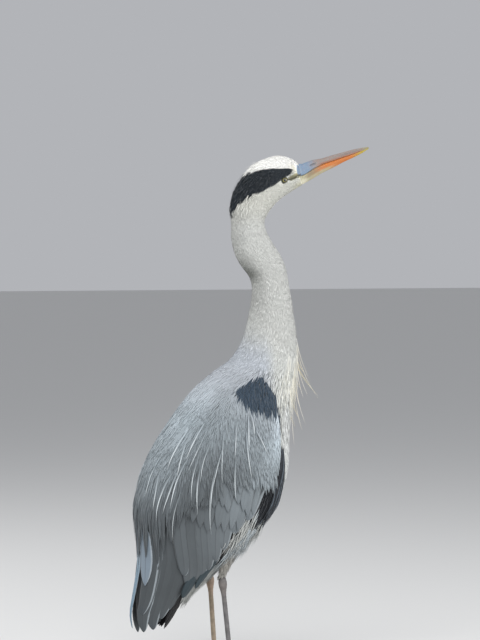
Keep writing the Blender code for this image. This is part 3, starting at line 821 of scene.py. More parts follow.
quillShape = vaneShape("flight", 1.2, [0, 0.15, 0.3, 0.45, 0.58, 0.7, 0.8, 0.87, 0.92, 0.955, 0.98, 0.993, 1],
                       broadSection)
covertShape = vaneShape("gothic", 0.8, [0, 0.2, 0.4, 0.6, 0.75, 0.86, 0.93, 0.97, 0.99, 1], broadSection)
lanceShape = vaneShape("lance", 0.6, np.linspace(0, 1, 12), vaneSection)
scapularShape = vaneShape("lance", 0.8, [0, 0.12, 0.25, 0.4, 0.55, 0.7, 0.82, 0.91, 0.97, 1], vaneSection)
wingForm = {
    "coreLow": 14, "coreTop": 440, "coreStep": 6.0, "inset": 6.0, "under": 6.2, "edgeLift": 3.6,
    "primaries": [   # tip s and angle, half width, root s and angle, how far off the tip stands
        (80, 136, 8, 158, 112, 8.5), (58, 122, 10, 150, 106, 9.0), (3, 146, 6.5, 262, 122, 1.0),
        (2, 136, 7, 262, 122, 1.5), (5, 127, 7, 262, 122, 2.0), (14, 118, 6, 262, 122, 2.6)],
    "teal": 200,     # primaries that root below this are teal, the others black
    "secondaries": 9, "secondaryLong": 130,
    "secondaryTip": [206, 182, 156, 136, 120, 108, 98, 87, 78, 94],      # from the front edge to the back
    "secondaryT": [190, 172, 156, 141, 127, 116, 107, 97, 85, 77],
    "lower": [   # long inner feathers under the back: root t, tip s, tip t, half width, how deep the tip lies
        (88, 52, 68, 10.5, 6.0), (82, 36, 60, 12, 5.4), (73, 20, 47, 13, 4.7), (60, 4, 31, 14, 4.0),
        (46, 0, 16, 13, 3.2), (31, 25, 20, 13, 2.4), (8, 5, 1, 3.2, 1.2)],
    "lowerRoot": 196.0,
    "covertRows": [   # how high the tips end, length, apart, half width, how deep they lie, first and last t
        (184, 104, 13.0, 11.5, 1.9, 98, 184), (222, 92, 12.0, 10.5, 1.2, 104, 206),
        (256, 80, 10.5, 9.0, 0.7, 108, 214), (288, 64, 9.0, 7.5, 0.3, 118, 212)],
    "longScapulars": [   # broad dark ones that end lowest: root s, root t, tip s, tip t, half width
        (215, 70, 138, 62, 8.5), (212, 52, 122, 48, 9), (200, 38, 103, 37, 10), (198, 22, 106, 19, 9.5),
        (196, 8, 104, 3, 8)],
    "scapulars": {"low": 205, "high": 356, "rows": 9.0, "gap": 6.0, "round": (2, 112), "reach": (52, 96),
                  "lowest": ([0, 40, 60, 90, 120], [104, 106, 130, 172, 214])},
    "tertial": (158, 15, 65, 20, 13.0),     # one pale pointed feather at the back edge, as longScapulars
}


def layBig(name, slot, side, rng, vanes, shape, finish, nodes=(), patch=0.006, ground=wingGround):
    # large feathers, given for the left side and mirrored for the right
    count = len(vanes["rootS"])
    for key in ("rootA", "tipA", "bow"):
        if key in vanes:
            vanes[key] = side * (vanes[key] + rng.normal(0, 0.4, count))
    vanes["tipS"] = vanes["tipS"] + rng.normal(0, 1.0, count)
    shade = 1 + rng.normal(0, 0.05, count)[:, None]
    vanes["tint"], vanes["tintTip"] = vanes["tint"] * shade, vanes["tintTip"] * shade
    ready(layVanes(name, vanes, dict(shape, patch=patch, flip=side), finish, ground), slot, *nodes)


def together(*sets):
    return {key: np.concatenate([vanes[key] for vanes in sets]) for key in sets[0]}


def wingCore(name, side):
    # the wing's body under its feathers, coloured dark as painted shade where it shows between them
    s = np.arange(wingForm["coreLow"], wingForm["coreTop"], wingForm["coreStep"])
    edge = wingEdge(s) - wingForm["inset"]
    angle = 2 + (edge[:, None] - 2) * np.linspace(0, 1, 40)
    s = np.broadcast_to(s[:, None], angle.shape)
    top = np.maximum(wingHigh(s, angle) - wingForm["under"], -2.5)
    taper = smooth((s - wingForm["coreLow"]) / 40)
    outer = bodyPoint(s, side * angle, top * taper - 4 * (1 - taper))
    inner = bodyPoint(s, side * angle, -4.4)
    # four tenths of the back's grey: painted shade
    tint = backColour(s, angle) * 0.4
    ready(loft(f"wing_{name}", np.concatenate([outer, inner[:, ::-1]], 1), skinMaterial,
               np.concatenate([tint, tint[:, ::-1]], 1)), "flight_plumage")


def primaries(name, side, rng):
    tip, a, width, root, rootA, off = np.array(wingForm["primaries"], float).T
    tint = np.where(root[:, None] < wingForm["teal"], hues["teal"], hues["primary"])
    vanes = vaneSet((root, rootA), (tip, a), width, (-1, off), (tint, tint))
    layBig(f"primaries_{name}_vanes", "black_plumage", side, rng, vanes, quillShape, "dark",
           (f"primaries_{name}",), ground=bodyGround)


def secondaries(name, side, rng):
    # their tips make the wing's lower edge, and the long inner feathers lie beneath the back
    fine = np.linspace(0, len(wingForm["secondaryT"]) - 1, wingForm["secondaries"])
    tip, t = (np.interp(fine, np.arange(len(wingForm[key])), wingForm[key])
              for key in ("secondaryTip", "secondaryT"))
    root = tip + wingForm["secondaryLong"]
    lift = np.maximum(wingLevel(tip + 12, t - 6) - 4.6, wingForm["edgeLift"]) + np.linspace(0, 2, len(t))
    upper = vaneSet((root, t + 2), (tip, t), np.interp(t, [56, 190], [14, 17]),
                    (wingLevel(root, t) - 5.6, lift),
                    (wingTint(tip + 70, t) * 1.1, wingTint(tip - 8, t) * 1.12), 0)
    rootT, tip, t, width, deep = np.array(wingForm["lower"]).T
    lower = vaneSet((np.full(len(t), wingForm["lowerRoot"]), rootT), (tip, t), width,
                    (2.2, np.interp(tip, [0, 80], [6.2, 7.6]) - deep + 1.4),
                    (wingTint(140, t) * 0.72, wingTint(30, t) * 0.84), np.interp(t, [3, 20, 66], [0, 2, 9]))
    vanes = together(upper, lower)
    # the last is the narrow pale blue one at the very back: its silver and blue are a painted highlight along
    # the wing's back edge
    vanes["tint"][-1], vanes["tintTip"][-1], vanes["outTip"][-1] = hues["silver"] * 0.6, hues["bluishHighlight"], 7.6
    layBig(f"secondaries_{name}_vanes", "flight_plumage", side, rng, vanes, quillShape, "quill",
           (f"secondaries_{name}",))


def coverts(name, side, rng):
    # rows of coverts, each over the tips of the one below
    parts = []
    for tipAt, long, apart, width, deep, first, last in wingForm["covertRows"]:
        t = np.arange(first, last, apart)
        t = t + rng.uniform(-2, 2, len(t))
        tip = tipAt + rng.normal(0, 7, len(t)) - 0.10 * (last - t)
        rootT = t - long * drift(tip + long / 2, t) * 0.7
        parts.append((tip + long, rootT, tip, t, 0 * t + width, 0 * t + deep))
    root, rootT, tip, t, width, deep = (np.concatenate(part) for part in zip(*parts))
    edge = np.maximum(wingLevel(tip + 8, t - 3), wingForm["edgeLift"] + 2.6)
    vanes = vaneSet((root, rootT), (tip, t), width, (wingLevel(root, rootT) - 4.2 - deep, edge - deep - 0.4),
                    (wingTint(root, t), wingTint(tip + 14, t)), bow=rng.normal(0, 2, len(t)))
    layBig(f"coverts_{name}_vanes", "covert_plumage", side, rng, vanes, covertShape, "covert",
           (f"coverts_{name}",))


def scapulars(name, side, rng):
    # many narrow pointed ones from the mantle down, and a few broad dark ones that end lowest
    values = wingForm["scapulars"]
    root, t = scatter(rng, values, wingPoint)
    reach = rng.uniform(*values["reach"], len(root))
    lowest = np.interp(t, *values["lowest"]) + rng.uniform(0, 26, len(t))
    tip = np.maximum(root - reach, lowest)
    tipT = np.maximum(t + (root - tip) * drift((root + tip) / 2, t), 1.5)
    order = np.argsort(tip)
    root, t, tip, tipT = root[order], t[order], tip[order], tipT[order]
    count = len(root)
    uneven = rng.normal(1, 0.065, count)[:, None]
    narrow = vaneSet((root, t), (tip, tipT), rng.uniform(2.6, 4.6, count),
                     (wingLevel(root, t) - 2.6, wingLevel(tip, tipT) - 0.6 + rng.uniform(0, 1.2, count)),
                     (wingTint(root, t), wingTint(tip - 6, tipT) * 0.93 * uneven), rng.normal(0, 1.0, count))
    root, t, tip, tipT, width = np.array(wingForm["longScapulars"]).T
    broad = vaneSet((root, t), (tip, tipT), width, (wingLevel(root, t) - 3.4, wingLevel(tip, tipT) - 0.4),
                    (wingTint(root, t), wingTint(tip - 30, tipT) * 0.72), 0)
    layBig(f"scapulars_{name}_vanes", "covert_plumage", side, rng, together(broad, narrow), scapularShape,
           "lance", (f"scapulars_{name}",), 0.004)


def tertial(name, side, rng):
    root, t, tip, tipT, width = wingForm["tertial"]
    vanes = vaneSet(([root], [t]), ([tip], [tipT]), width, (3.6, 7.4), (hues["paleFeather"],) * 2, bow=0)
    layBig(f"tertial_{name}_vane", "flight_plumage", side, rng, vanes, covertShape, "quill")


for name, side in bothSides:
    rng = np.random.default_rng(41 + (side < 0))
    wingCore(name, side)
    for layer in (primaries, secondaries, coverts, scapulars, tertial):
        layer(name, side, rng)
print("wings laid")

mantleForm = {"low": 252, "high": 474, "rows": 3.6, "gap": 2.5, "round": (0, 216),
              "lowest": ([0, 90, 130, 190], [250, 258, 272, 284]),
              "length": ([270, 350, 460], [44, 28, 17]),
              "width": ([265, 310, 370, 460], [3.4, 2.7, 1.8, 1.3]), "fat": ([300, 460], [1, 0.3])}
for name, side in bothSides:
    rng = np.random.default_rng(51 + (side < 0))
    s, t = scatter(rng, mantleForm, wingPoint)
    angle = angleAt(s, t)
    lowest = np.interp(t, *mantleForm["lowest"])
    thinning = rng.uniform(0, 1, len(s)) < (s - lowest) / 30
    keep = (angle < wingEdge(s) + 1) & (s < 472 - 0.15 * angle) & thinning
    s, t = s[keep], t[keep]
    length, width, fat = (np.interp(s, *mantleForm[key]) for key in ("length", "width", "fat"))
    look = dict(looks["mantle"], width=width, fat=fat, flow=np.degrees(np.arctan(drift(s, t))))
    piece = coat(f"coat_mantle_{name}", "mantle", rng, s, side * t, look, length, wingGround, wingLevel,
                 wingTint)
    ready(piece, "covert_plumage")
print("mantle laid")


# long plumes
def plumes(name, slot, side, rng, root, tip, width, off, tints, finish, shape, ground=bodyGround):
    bow = rng.normal(0, 1.0, len(root[0]))
    vanes = vaneSet((root[0], side * root[1]), (tip[0], side * tip[1]), width, off, tints, side * bow)
    ready(layVanes(name, vanes, shape, finish, ground), slot)


plumeForm = {
    "silver": [   # root s, root t, tip s, tip t
        (311, 90, 246, 129), (331, 98, 289, 128), (346, 108, 308, 140), (323, 119, 267, 168),
        (280, 127, 227, 157), (268, 79, 209, 92), (256, 88, 191, 104), (232, 55, 162, 44),
        (261, 67, 187, 64), (278, 52, 239, 64), (244, 111, 168, 127), (208, 75, 137, 65),
        (221, 35, 176, 39), (348, 111, 334, 134), (328, 130, 314, 168), (300, 70, 250, 76),
        (290, 102, 236, 118), (300, 44, 246, 46), (250, 26, 196, 24), (316, 60, 268, 66),
        (262, 108, 204, 122), (240, 62, 176, 54), (290, 84, 240, 98)],
    "rootHigher": 16, "silverWidth": (1.0, 1.9),
    "flank": 52, "flankWidth": (1.8, 3.4), "flankS": (250, 340), "flankReach": (45, 95), "paleShare": 0.3,
    "flankRoot": ([250, 318, 340], [144, 137, 133]), "flankLowest": 186,
    "flankTip": ([186, 216, 234, 274, 318, 345], [158, 166, 167, 154, 141, 134]),
}
for name, side in bothSides:
    rng = np.random.default_rng(61 + (side < 0))
    rootS, rootT, tipS, tipT = np.array(plumeForm["silver"], float).T
    rootS = rootS + plumeForm["rootHigher"]
    bright = rng.uniform(0.75, 1.0, len(rootS))[:, None]
    plumes(f"plumes_{name}", "covert_plumage", side, rng, (rootS, rootT), (tipS, tipT),
           rng.uniform(*plumeForm["silverWidth"], len(rootS)),
           (wingLevel(rootS, rootT) - 0.2, wingLevel(tipS, tipT) + 2.0),
           (wingTint(rootS, rootT), hues["silver"] * bright), "plume",
           dict(lanceShape, camber=0.8, kind="hair", tintFrom=0.2), wingGround)
    # black plumes beside the breast, hanging past the wing's edge
    count = plumeForm["flank"]
    rootS = rng.uniform(*plumeForm["flankS"], count)
    rootA = np.interp(rootS, *plumeForm["flankRoot"]) + rng.uniform(-6, 4, count)
    tipS = rootS - rng.uniform(*plumeForm["flankReach"], count)
    tipS = np.maximum(tipS, plumeForm["flankLowest"] + rng.uniform(0, 34, count))
    tipA = np.interp(tipS, *plumeForm["flankTip"]) + rng.uniform(-22, 0, count)
    dark = hues["flank"] * rng.uniform(0.7, 1.5, count)[:, None]
    pale = rng.uniform(0, 1, count)[:, None] < plumeForm["paleShare"]
    dark = np.where(pale, hues["fringe"] * 1.4, dark)
    plumes(f"flank_{name}", "black_plumage", side, rng, (rootS, rootA), (tipS, tipA),
           rng.uniform(*plumeForm["flankWidth"], count), (0.2, 2.6), (dark, dark), "dark",
           dict(lanceShape, camber=0.8))
print("plumes laid")

# plumes of the lower neck, hanging free over the breast: a few long ones that stand off, and many fine ones
breastPlumes = {
    "long": [   # root s, root angle, tip s, tip angle, how far off the tip stands, half width
        (492, 162, 441, 165, 31, 1.2), (482, 163, 419, 168, 58, 1.5), (472, 160, 420, 163, 33, 1.1),
        (470, 157, 415, 162, 24, 1.2), (454, 158, 370, 164, 29, 1.5), (456, 160, 381, 165, 36, 1.3),
        (452, 156, 403, 160, 17, 1.1), (446, 157, 347, 163, 11, 1.3), (462, 154, 396, 159, 8, 1.0),
        (474, 146, 408, 150, 4, 1.2), (462, 142, 398, 147, 3, 1.1), (455, 138, 405, 141, 2, 1.0)],
    "otherSide": ((1, -1, 1, -1, 0.7, 1), (4, 0, -5, 0, 0, 0)),     # scale and shift for the far side's
    "fine": 190, "rootS": (440, 505), "rootA": (116, 244), "off": (0, 1), "width": (0.5, 0.9),
    "reach": (34, 84), "drawn": ("rootS", "rootA", "off", "width", "reach"),
    "standing": 10, "wider": (1.1, 2.0),     # those that stand this far off are wider
}


def layBreastPlumes():
    rng = np.random.default_rng(71)
    long = np.array(breastPlumes["long"], float)
    scale, shift = np.array(breastPlumes["otherSide"])
    count = breastPlumes["fine"]
    rootS, rootA, off, width, reach = draw(rng, breastPlumes, count, *breastPlumes["drawn"])
    off = 1.0 + 7 * off ** 3
    tipS = rootS - reach
    off = off * (smooth((44 - np.abs(rootA - 180)) / 20) + 0.15)
    fine = np.stack([rootS, rootA, tipS, 180 + (rootA - 180) * 0.97, off, width], -1)
    rootS, rootA, tipS, tipA, off, width = np.concatenate([long, long * scale + shift, fine]).T
    count = len(rootS)
    bow = rng.normal(0, 1.5, count)
    creamy = np.where(np.arange(count) < 2 * len(long), 1.0, 0.35)
    tint = blend("breast", "plume", creamy) * rng.normal(1, 0.04, count)[:, None]
    width = width * np.take(breastPlumes["wider"], off > breastPlumes["standing"])
    vanes = vaneSet((rootS, rootA), (tipS, tipA), width, (-1.2, off + 0.6), (tint, tint), bow)
    ready(layVanes("breast_plume_strands", vanes, dict(lanceShape, kind="pointed", rise=2.1), "plume"),
          "neck_plumage", "breast_plumes")


crestForm = {"count": 60, "rootS": (706, 742), "rootA": (-24, 24), "reach": (14, 40), "lowest": (682, 702),
             "width": (1.0, 1.7), "off": (1.0, 2.4),
             "drawn": ("rootS", "rootA", "reach", "lowest", "width", "off")}


def layCrest():
    # black plumes of the hind crown, down the nape
    rng = np.random.default_rng(81)
    count = crestForm["count"]
    rootS, rootA, reach, lowest, width, off = draw(rng, crestForm, count, *crestForm["drawn"])
    tint = hues["black"] * (1 + rng.normal(0, 0.1, count))[:, None]
    tipS = np.maximum(rootS - reach, lowest)
    vanes = vaneSet((rootS, rootA), (tipS, rootA * 0.8), width, (-0.8, off), (tint, tint))
    ready(layVanes("crest_strands", vanes, lanceShape, "dark"), "black_plumage", "crest")


layBreastPlumes()
layCrest()


# tail and thighs
def tailSurface(s, across, out):
    backF, backZ, frontF, frontZ = (np.interp(s, tableS, tableRows[:, k]) for k in range(4))
    lean = np.arctan2(backZ - frontZ, backF - frontF)
    forward = (backF + frontF) / 2 + out * np.cos(lean)
    up = (backZ + frontZ) / 2 + out * np.sin(lean)
    return np.stack([across + 0 * forward, middle - forward, up], -1) * mm


tailForm = {"places": [5.6, -5, 5, -4, 4, -3, 3, -2, 2, -1, 1, 0], "rootS": 120.0, "tipS": 8, "rounding": 1.6,
            "spread": 1.9, "width": 6.0}
fan = np.array(tailForm["places"], float)
tips = (tailForm["tipS"] + np.abs(fan) * tailForm["rounding"], fan * tailForm["spread"])
vanes = vaneSet((np.full(len(fan), tailForm["rootS"]), fan), tips, tailForm["width"],
                (np.linspace(-5, 0, len(fan)), np.linspace(-4, 1.0, len(fan))), (hues["tail"], hues["tail"]))
tailPiece = layVanes("tail_vanes", vanes, dict(quillShape, patch=0.01), "quill",
                     (tailSurface, (-15, 30, -45, 900)))
ready(tailPiece, "flight_plumage", "tail")

undertailForm = {"low": 72, "high": 138, "rows": 4.0, "gap": 2.4, "round": (122, 238), "length": 46,
                 "lowest": ([0, 13, 36, 50, 58], [50, 37, 36, 50, 60]), "width": (1.6, 2.6),
                 "off": (4.5, 10.0)}
bellyDown = {"count": 150, "rootS": (190, 232), "rootA": (116, 166), "shade": (0.86, 1.08), "reach": (34, 58),
             "width": (1.2, 2.4), "off": (2.0, 11.0)}
tibiaForm = {"low": 4, "rows": 3.4, "gap": 2.6, "round": (0, 360), "length": ([0, 30, 80], [8, 16, 30])}


def layUndertail():
    rng = np.random.default_rng(97)
    s, a = scatter(rng, undertailForm)
    count, away = len(s), np.abs(a - 180)
    lowest = np.interp(away, *undertailForm["lowest"]) + rng.uniform(0, 16, count)
    width, off = draw(rng, undertailForm, count, "width", "off")
    tint = hues["undertail"] * (1 + rng.normal(0, 0.05, count))[:, None]
    vanes = vaneSet((s, a), (np.maximum(s - undertailForm["length"], lowest), 180 + (a - 180) * 1.02), width,
                    (-3.0, off - 2.0 * (away > 34)), (tint, tint), rng.normal(0, 1.5, count))
    shape = dict(looks["breast"]["shape"], rise=0.7)
    ready(layVanes("coat_undertail", vanes, shape, "down"), "belly_plumage")


def tibiaColour(s, angle):
    return blend("tibia", "belly", past(s, 22, 30))


layUndertail()
for name, side in bothSides:
    # loose down at the back of the belly, over the thighs
    rng = np.random.default_rng(95 + (side < 0))
    count = bellyDown["count"]
    s, a, shade, reach = draw(rng, bellyDown, count, "rootS", "rootA", "shade", "reach")
    tip = (s - reach, a + rng.normal(0, 5, count))
    width, off = draw(rng, bellyDown, count, "width", "off")
    tints = [hues[hue] * shade[:, None] for hue in ("belly", "undertail")]
    plumes(f"belly_down_{name}", "belly_plumage", side, rng, (s, a), tip, width, (-2.0, off), tints, "down",
           dict(lanceShape, camber=0.4, rise=1.6))
for name, leg in legForm["legs"].items():
    rng = np.random.default_rng(91 + (leg["side"] < 0))
    surface, length = thighSurface(leg)
    s, a = scatter(rng, dict(tibiaForm, high=length - 4), surface)
    look = dict(looks["neck"], root=-1.6, tip=0.3, loose=2.0, wander=9, width=1.9, uneven=0.06)
    piece = coat(f"coat_tibia_{name}", "down", rng, s, a, look, np.interp(s, *tibiaForm["length"]),
                 (surface, (-20, 400, -20, 160)), colours=tibiaColour)
    ready(piece, "belly_plumage")
print("tail and thighs feathered")


# bill: each half an arch on the flat where the halves meet
def hornFinish(name, roughness, streak):
    material, tree, shader = newMaterial(name, roughness, Specular_IOR_Level=0.5, Coat_Weight=0.15,
                                         Coat_Roughness=0.3, Subsurface_Weight=0.04)
    place, stretch = tree.nodes.new("ShaderNodeTexCoord"), tree.nodes.new("ShaderNodeMapping")
    tree.links.new(place.outputs["Object"], stretch.inputs["Vector"])
    stretch.inputs["Scale"].default_value = (1.0, 0.12, 1.0)
    grain = texture(tree, "Noise", 900, stretch.outputs[0], 5).outputs["Fac"]
    colour = tinted(tree, mathNode(tree, "MULTIPLY_ADD", grain, streak, 1 - streak / 2))
    finished(tree, shader, colour, grain, 0.2, 0.0002)
    return material


billForm = {
    "rows": [   # forward, top, edge where the halves meet, bottom, half width
        (135, 787, 768, 757, 8.0), (139, 788.5, 769.7, 755.4, 9.3), (143, 788.6, 770.9, 755.7, 9.4),
        (160, 794.5, 781, 764.5, 8.2), (176, 797, 788, 773.5, 7.0), (195, 802.5, 793.5, 782, 5.6),
        (213, 807, 799, 791, 4.3), (231, 811.6, 804.5, 798.6, 3.0), (246, 814.4, 809.8, 805.8, 1.9),
        (256.5, 815.6, 813.6, 812.2, 0.8)],
    "rings": 90, "around": 40, "nostril": (153, 166), "nostrilHigh": 0.5, "grooveHigh": 0.52,
    "gap": 0.24, "short": 0.25,     # between the halves, and each half short of its row, mm
    "arch": {"upper": 1.15, "lower": 0.85}, "narrower": {"upper": 0.34, "lower": 0.20},
}


def upperBillColour(share, rel, slit):
    colour = blend("billBase", "billUpper", past(share, 0.10, 0.18))
    colour = blend(colour, "billTip", past(share, 0.85, 0.15) * 0.6)
    edging = past(share, 0.22, 0.12) * (1 - past(share, 0.85, 0.1))
    colour = blend(colour, "billEdge", (1 - past(rel, 0.12, 0.3)) * edging * 0.85)
    colour = blend(colour, "billDusk", bell(rel, 0.5, 0.2) * past(share, 0.4, 0.3) * 0.5)
    return blend(colour, "gape", 0.85 * slit)


def lowerBillColour(share, rel):
    colour = blend("billPale", "billOrange", past(share, 0.14, 0.26))
    colour = blend(colour, "billYellow", past(share, 0.72, 0.22))
    cream = np.maximum(past(rel, 0.4, 0.3) * (1 - past(share, 0.38, 0.2)),
                       1 - past(share, 0.04, 0.12))
    colour = blend(colour, "billCream", cream * 0.9)
    feathered = smooth((rel - 0.15 - 2.2 * share) / 0.3) * (1 - past(share, 0.07, 0.1))
    return blend(colour, "chin", 0.75 * feathered)


def makeBill():
    rows = np.array(billForm["rows"])
    f = np.linspace(rows[0, 0], rows[-1, 0], billForm["rings"])[:, None]
    top, edge, low, wide = (np.interp(f, rows[:, 0], rows[:, k]) for k in (1, 2, 3, 4))
    share = (f - f[0]) / (f[-1] - f[0])
    turn = np.linspace(0, 2 * np.pi, billForm["around"], endpoint=False)
    sine, cosine = np.sin(turn), np.cos(turn)
    for half, way, far in (("upper", 1, top), ("lower", -1, low)):
        high = way * (far - edge) - billForm["short"]
        z = high * np.maximum(sine, 0) ** billForm["arch"][half]
        rel = z / np.maximum(high, 0.1)
        x = wide * np.sign(cosine) * np.abs(cosine) ** 0.8 * (1 - billForm["narrower"][half] * rel ** 1.2)
        z = z + np.where(sine < 0, 0.10 * wide * np.abs(sine), 0)
        rel = z / np.maximum(high, 0.1)
        if way > 0:
            # a groove along the side, and the nostril's slit in it
            start, end = billForm["nostril"]
            groove = bell(rel, billForm["grooveHigh"], 0.12) * (1 - past(share, 0.45, 0.25))
            slit = bell(rel, billForm["nostrilHigh"], 0.07) * smooth((f - start) / 2) * smooth((end - f) / 3)
            slit = slit * (sine > 0)
            x = x * (1 - 0.10 * groove - 0.22 * slit)
            colour = upperBillColour(share, rel, slit)
        else:
            colour = lowerBillColour(share, rel)
        up = edge + way * (billForm["gap"] / 2 + z)
        rings = np.stack(np.broadcast_arrays(x, middle - f, up), -1) * mm
        ready(loft(f"bill_{half}_horn", rings, hornMaterial, colour), f"{half}_bill", f"bill_{half}")


hornMaterial = hornFinish("billHorn", 0.38, 0.3)
makeBill()


# eyes, with a ring of lid round each
def eyeFinish():
    material, tree, shader = newMaterial("eyeFinish", 0.08, Specular_IOR_Level=0.6, Coat_Weight=1.0,
                                         Coat_Roughness=0.03)
    fibre = texture(tree, "Noise", 1400).outputs["Fac"]
    colour = tinted(tree, mathNode(tree, "MULTIPLY_ADD", fibre, 0.5, 0.75))
    tree.links.new(colour, shader.inputs["Base Color"])
    return material


def makeEye(name, side):
    # rings from the pole that looks outwards to the pole inside the head
    polar = np.radians(np.concatenate([np.linspace(1.5, 60, 46), np.linspace(64, 178, 24)]))
    p, t = np.meshgrid(polar, np.linspace(0, 2 * np.pi, 64, endpoint=False), indexing="ij")
    centre = np.array([side * eyeForm["side"], middle - eyeForm["forward"], eyeForm["up"]])
    ball = eyeForm["ball"] * (1 + 0.03 * bell(p, 0, 0.35))
    rings = np.stack([side * np.cos(p), np.sin(p) * np.cos(t), np.sin(p) * np.sin(t)], -1) * ball[..., None]
    degrees = np.degrees(p)
    tint = blend("pupil", "iris", past(degrees, 21, 1.6))
    tint = blend(tint, "irisEdge", past(degrees, 33, 5))
    tint = blend(tint, "eyeWhite", past(degrees, 48, 4))
    ready(loft(f"eye_{name}_ball", (centre + rings) * mm, eyeMaterial, tint), "eye", f"eye_{name}")
    # the lids: a soft rolled ring that lies on the eyeball inside and on the skin outside. The opening is an
    # almond, wider than tall, leaning down to the bill
    t, r = np.meshgrid(np.linspace(0, 2 * np.pi, eyeForm["rings"], endpoint=False),
                       np.linspace(0, 2 * np.pi, eyeForm["roll"], endpoint=False), indexing="ij")
    long, tall, lean = np.cos(t), np.sin(t) * eyeForm["tall"], eyeForm["lean"]
    radius = eyeForm["opening"] + 0.75 + 0.85 * np.cos(r)
    reach = np.minimum(radius * np.hypot(long, tall), 6.2)
    resting = np.sqrt(np.maximum(eyeForm["ball"] ** 2 - reach ** 2, 0))
    crease = 0.12 * np.sin(t * 17) * (np.sin(r) > 0) + 0.3 * bell(r, 0.9, 0.22)
    depth = resting + 0.15 + 0.7 * np.sin(r) - crease
    rings = centre + np.stack([side * depth, radius * (long * np.cos(lean) + tall * np.sin(lean)),
                               radius * (tall * np.cos(lean) - long * np.sin(lean))], -1)
    quads = ringQuads(eyeForm["rings"], eyeForm["roll"], True).reshape(-1, 4)
    # darker along the crease in the roll: painted shade in the crease
    tint = hues["lid"] * (1 + 0.12 * np.sin(t * 9 + r) - 0.5 * bell(r, 0.9, 0.3))[..., None]
    lid = meshPiece(f"lids_{name}", rings.reshape(-1, 3) * mm, quads, np.zeros((0, 3), int), skinMaterial,
                    tint.reshape(-1, 3))
    ready(faceOutwards(lid), "crown_plumage")


eyeMaterial = eyeFinish()
for name, side in bothSides:
    makeEye(name, side)
print("bill and eyes made")

# legs and feet
toeForm = [("middle", 4, 78, 4.3, 13), ("inner", -19, 58, 4.0, 13), ("outer", 38, 66, 4.0, 12),
           ("hind", 185, 42, 4.0, 18)]      # name, turn outwards, length, radius at the root, claw
shankForm = {"rings": 84, "sides": 28, "start": -0.03, "end": 1.05, "deep": 3.8, "wide": 3.1, "knob": 3.0,
             "footKnob": 1.4}
footForm = {"hubUp": 8.2, "toeRings": 44, "toeSides": 20, "clawRings": 22, "clawSides": 16, "ball": 5.7,
            "ballLower": 1.2, "flat": 0.82, "pad": 0.10, "voxel": 0.75}
scuteForm = {"shank": 4.6, "shankDeep": 0.42, "toe": 3.4, "toeDeep": 0.38, "sunk": 0.2, "sole": 0.35,
             "seamDark": 0.3, "warmUp": 132, "warm": {"left": 0.6, "right": 0.15},
             "hue": {"left": "legFarLit", "right": "legNearShaded"}}


def unit(vector):
    return vector / np.linalg.norm(vector)


def tubeRings(centres, deep, wide, heading, sides):
    heading = unit(heading)
    upright = abs(heading[2]) > 0.5
    rise = unit(np.cross(heading, (1, 0, 0))) if upright else np.array([0, 0, 1.0])
    turn = np.linspace(0, 2 * np.pi, sides, endpoint=False)[:, None]
    return (centres[:, None] + unit(np.cross(rise, heading)) * np.cos(turn) * wide[:, None, None]
            + rise * np.sin(turn) * deep[:, None, None])


def shankRings(leg):
    _, top, end = legEnds(leg)
    u = np.linspace(shankForm["start"], shankForm["end"], shankForm["rings"])      # down into the foot
    knob = shankForm["knob"] * bell(u, 0.08, 0.08) + shankForm["footKnob"] * bell(u, 1, 0.08)
    deep, wide = shankForm["deep"] + knob, shankForm["wide"] + 0.75 * knob
    return tubeRings(top + (end - top) * u[:, None], deep, wide, end - top, shankForm["sides"])


def toePath(hub, heading, reach, up):
    centres = hub + heading * reach[:, None]
    centres[:, 2] = up
    return centres


def toeRings(hub, heading, length, radius):
    u = np.linspace(0, 1, footForm["toeRings"])
    thick = radius * (1 - 0.38 * u) * (1 + footForm["pad"] * np.cos(7 * np.pi * u))
    thick = thick * (1 - 0.4 * past(u, 0.86, 0.14))
    up = thick * footForm["flat"] + 5.0 * (1 - smooth(length * u / 18))
    return tubeRings(toePath(hub, heading, length * u, up), thick, thick, heading, footForm["toeSides"])


def clawRings(hub, heading, length, radius, claw):
    u = np.linspace(0, 1, footForm["clawRings"])
    root = radius * 0.62
    thick = root * (1 - u) ** 0.8 * 0.8 + 0.2
    up = np.maximum(root * footForm["flat"] + 1.6 * np.sin(np.pi * u * 0.75) - u**2, thick)
    path = toePath(hub, heading, length + 0.3 + claw * u, up)
    rings = tubeRings(path, thick, thick * 0.8, heading, footForm["clawSides"])
    rings[..., 2] = np.maximum(rings[..., 2], 0)
    return rings


def makeLeg(name, leg):
    parts = [shankRings(leg)]
    hub = legPoint(leg["foot"] + 1, leg["side"] * legForm["spread"], footForm["hubUp"])
    for toe, turn, length, radius, claw in toeForm:
        angle = np.radians(turn) * leg["side"]
        heading = np.array([np.sin(angle), -np.cos(angle), 0])
        parts.append(toeRings(hub, heading, length, radius))
        rings = clawRings(hub, heading, length, radius, claw)
        shade = np.linspace(1.25, 0.8, len(rings))[:, None, None]
        ready(loft(f"claw_{toe}_{name}_horn", rings * mm, clawMaterial, hues["claw"] * shade), "claw",
              f"claw_{toe}_{name}")
    pieces = [loft(f"part{i}", rings * mm, legMaterial) for i, rings in enumerate(parts)]
    spot = Vector(hub - np.array([0, 0, footForm["ballLower"]])) * mm
    bpy.ops.mesh.primitive_uv_sphere_add(segments=24, ring_count=16, location=spot,
                                         radius=footForm["ball"] * mm)
    foot = joined(f"leg_{name}", pieces + [bpy.context.object])
    applied(foot, "REMESH", mode="VOXEL", voxel_size=footForm["voxel"] * mm, use_smooth_shade=True)
    scutes(foot, name, leg)
    ready(foot, "leg_skin", f"shank_{name}", f"foot_{name}")


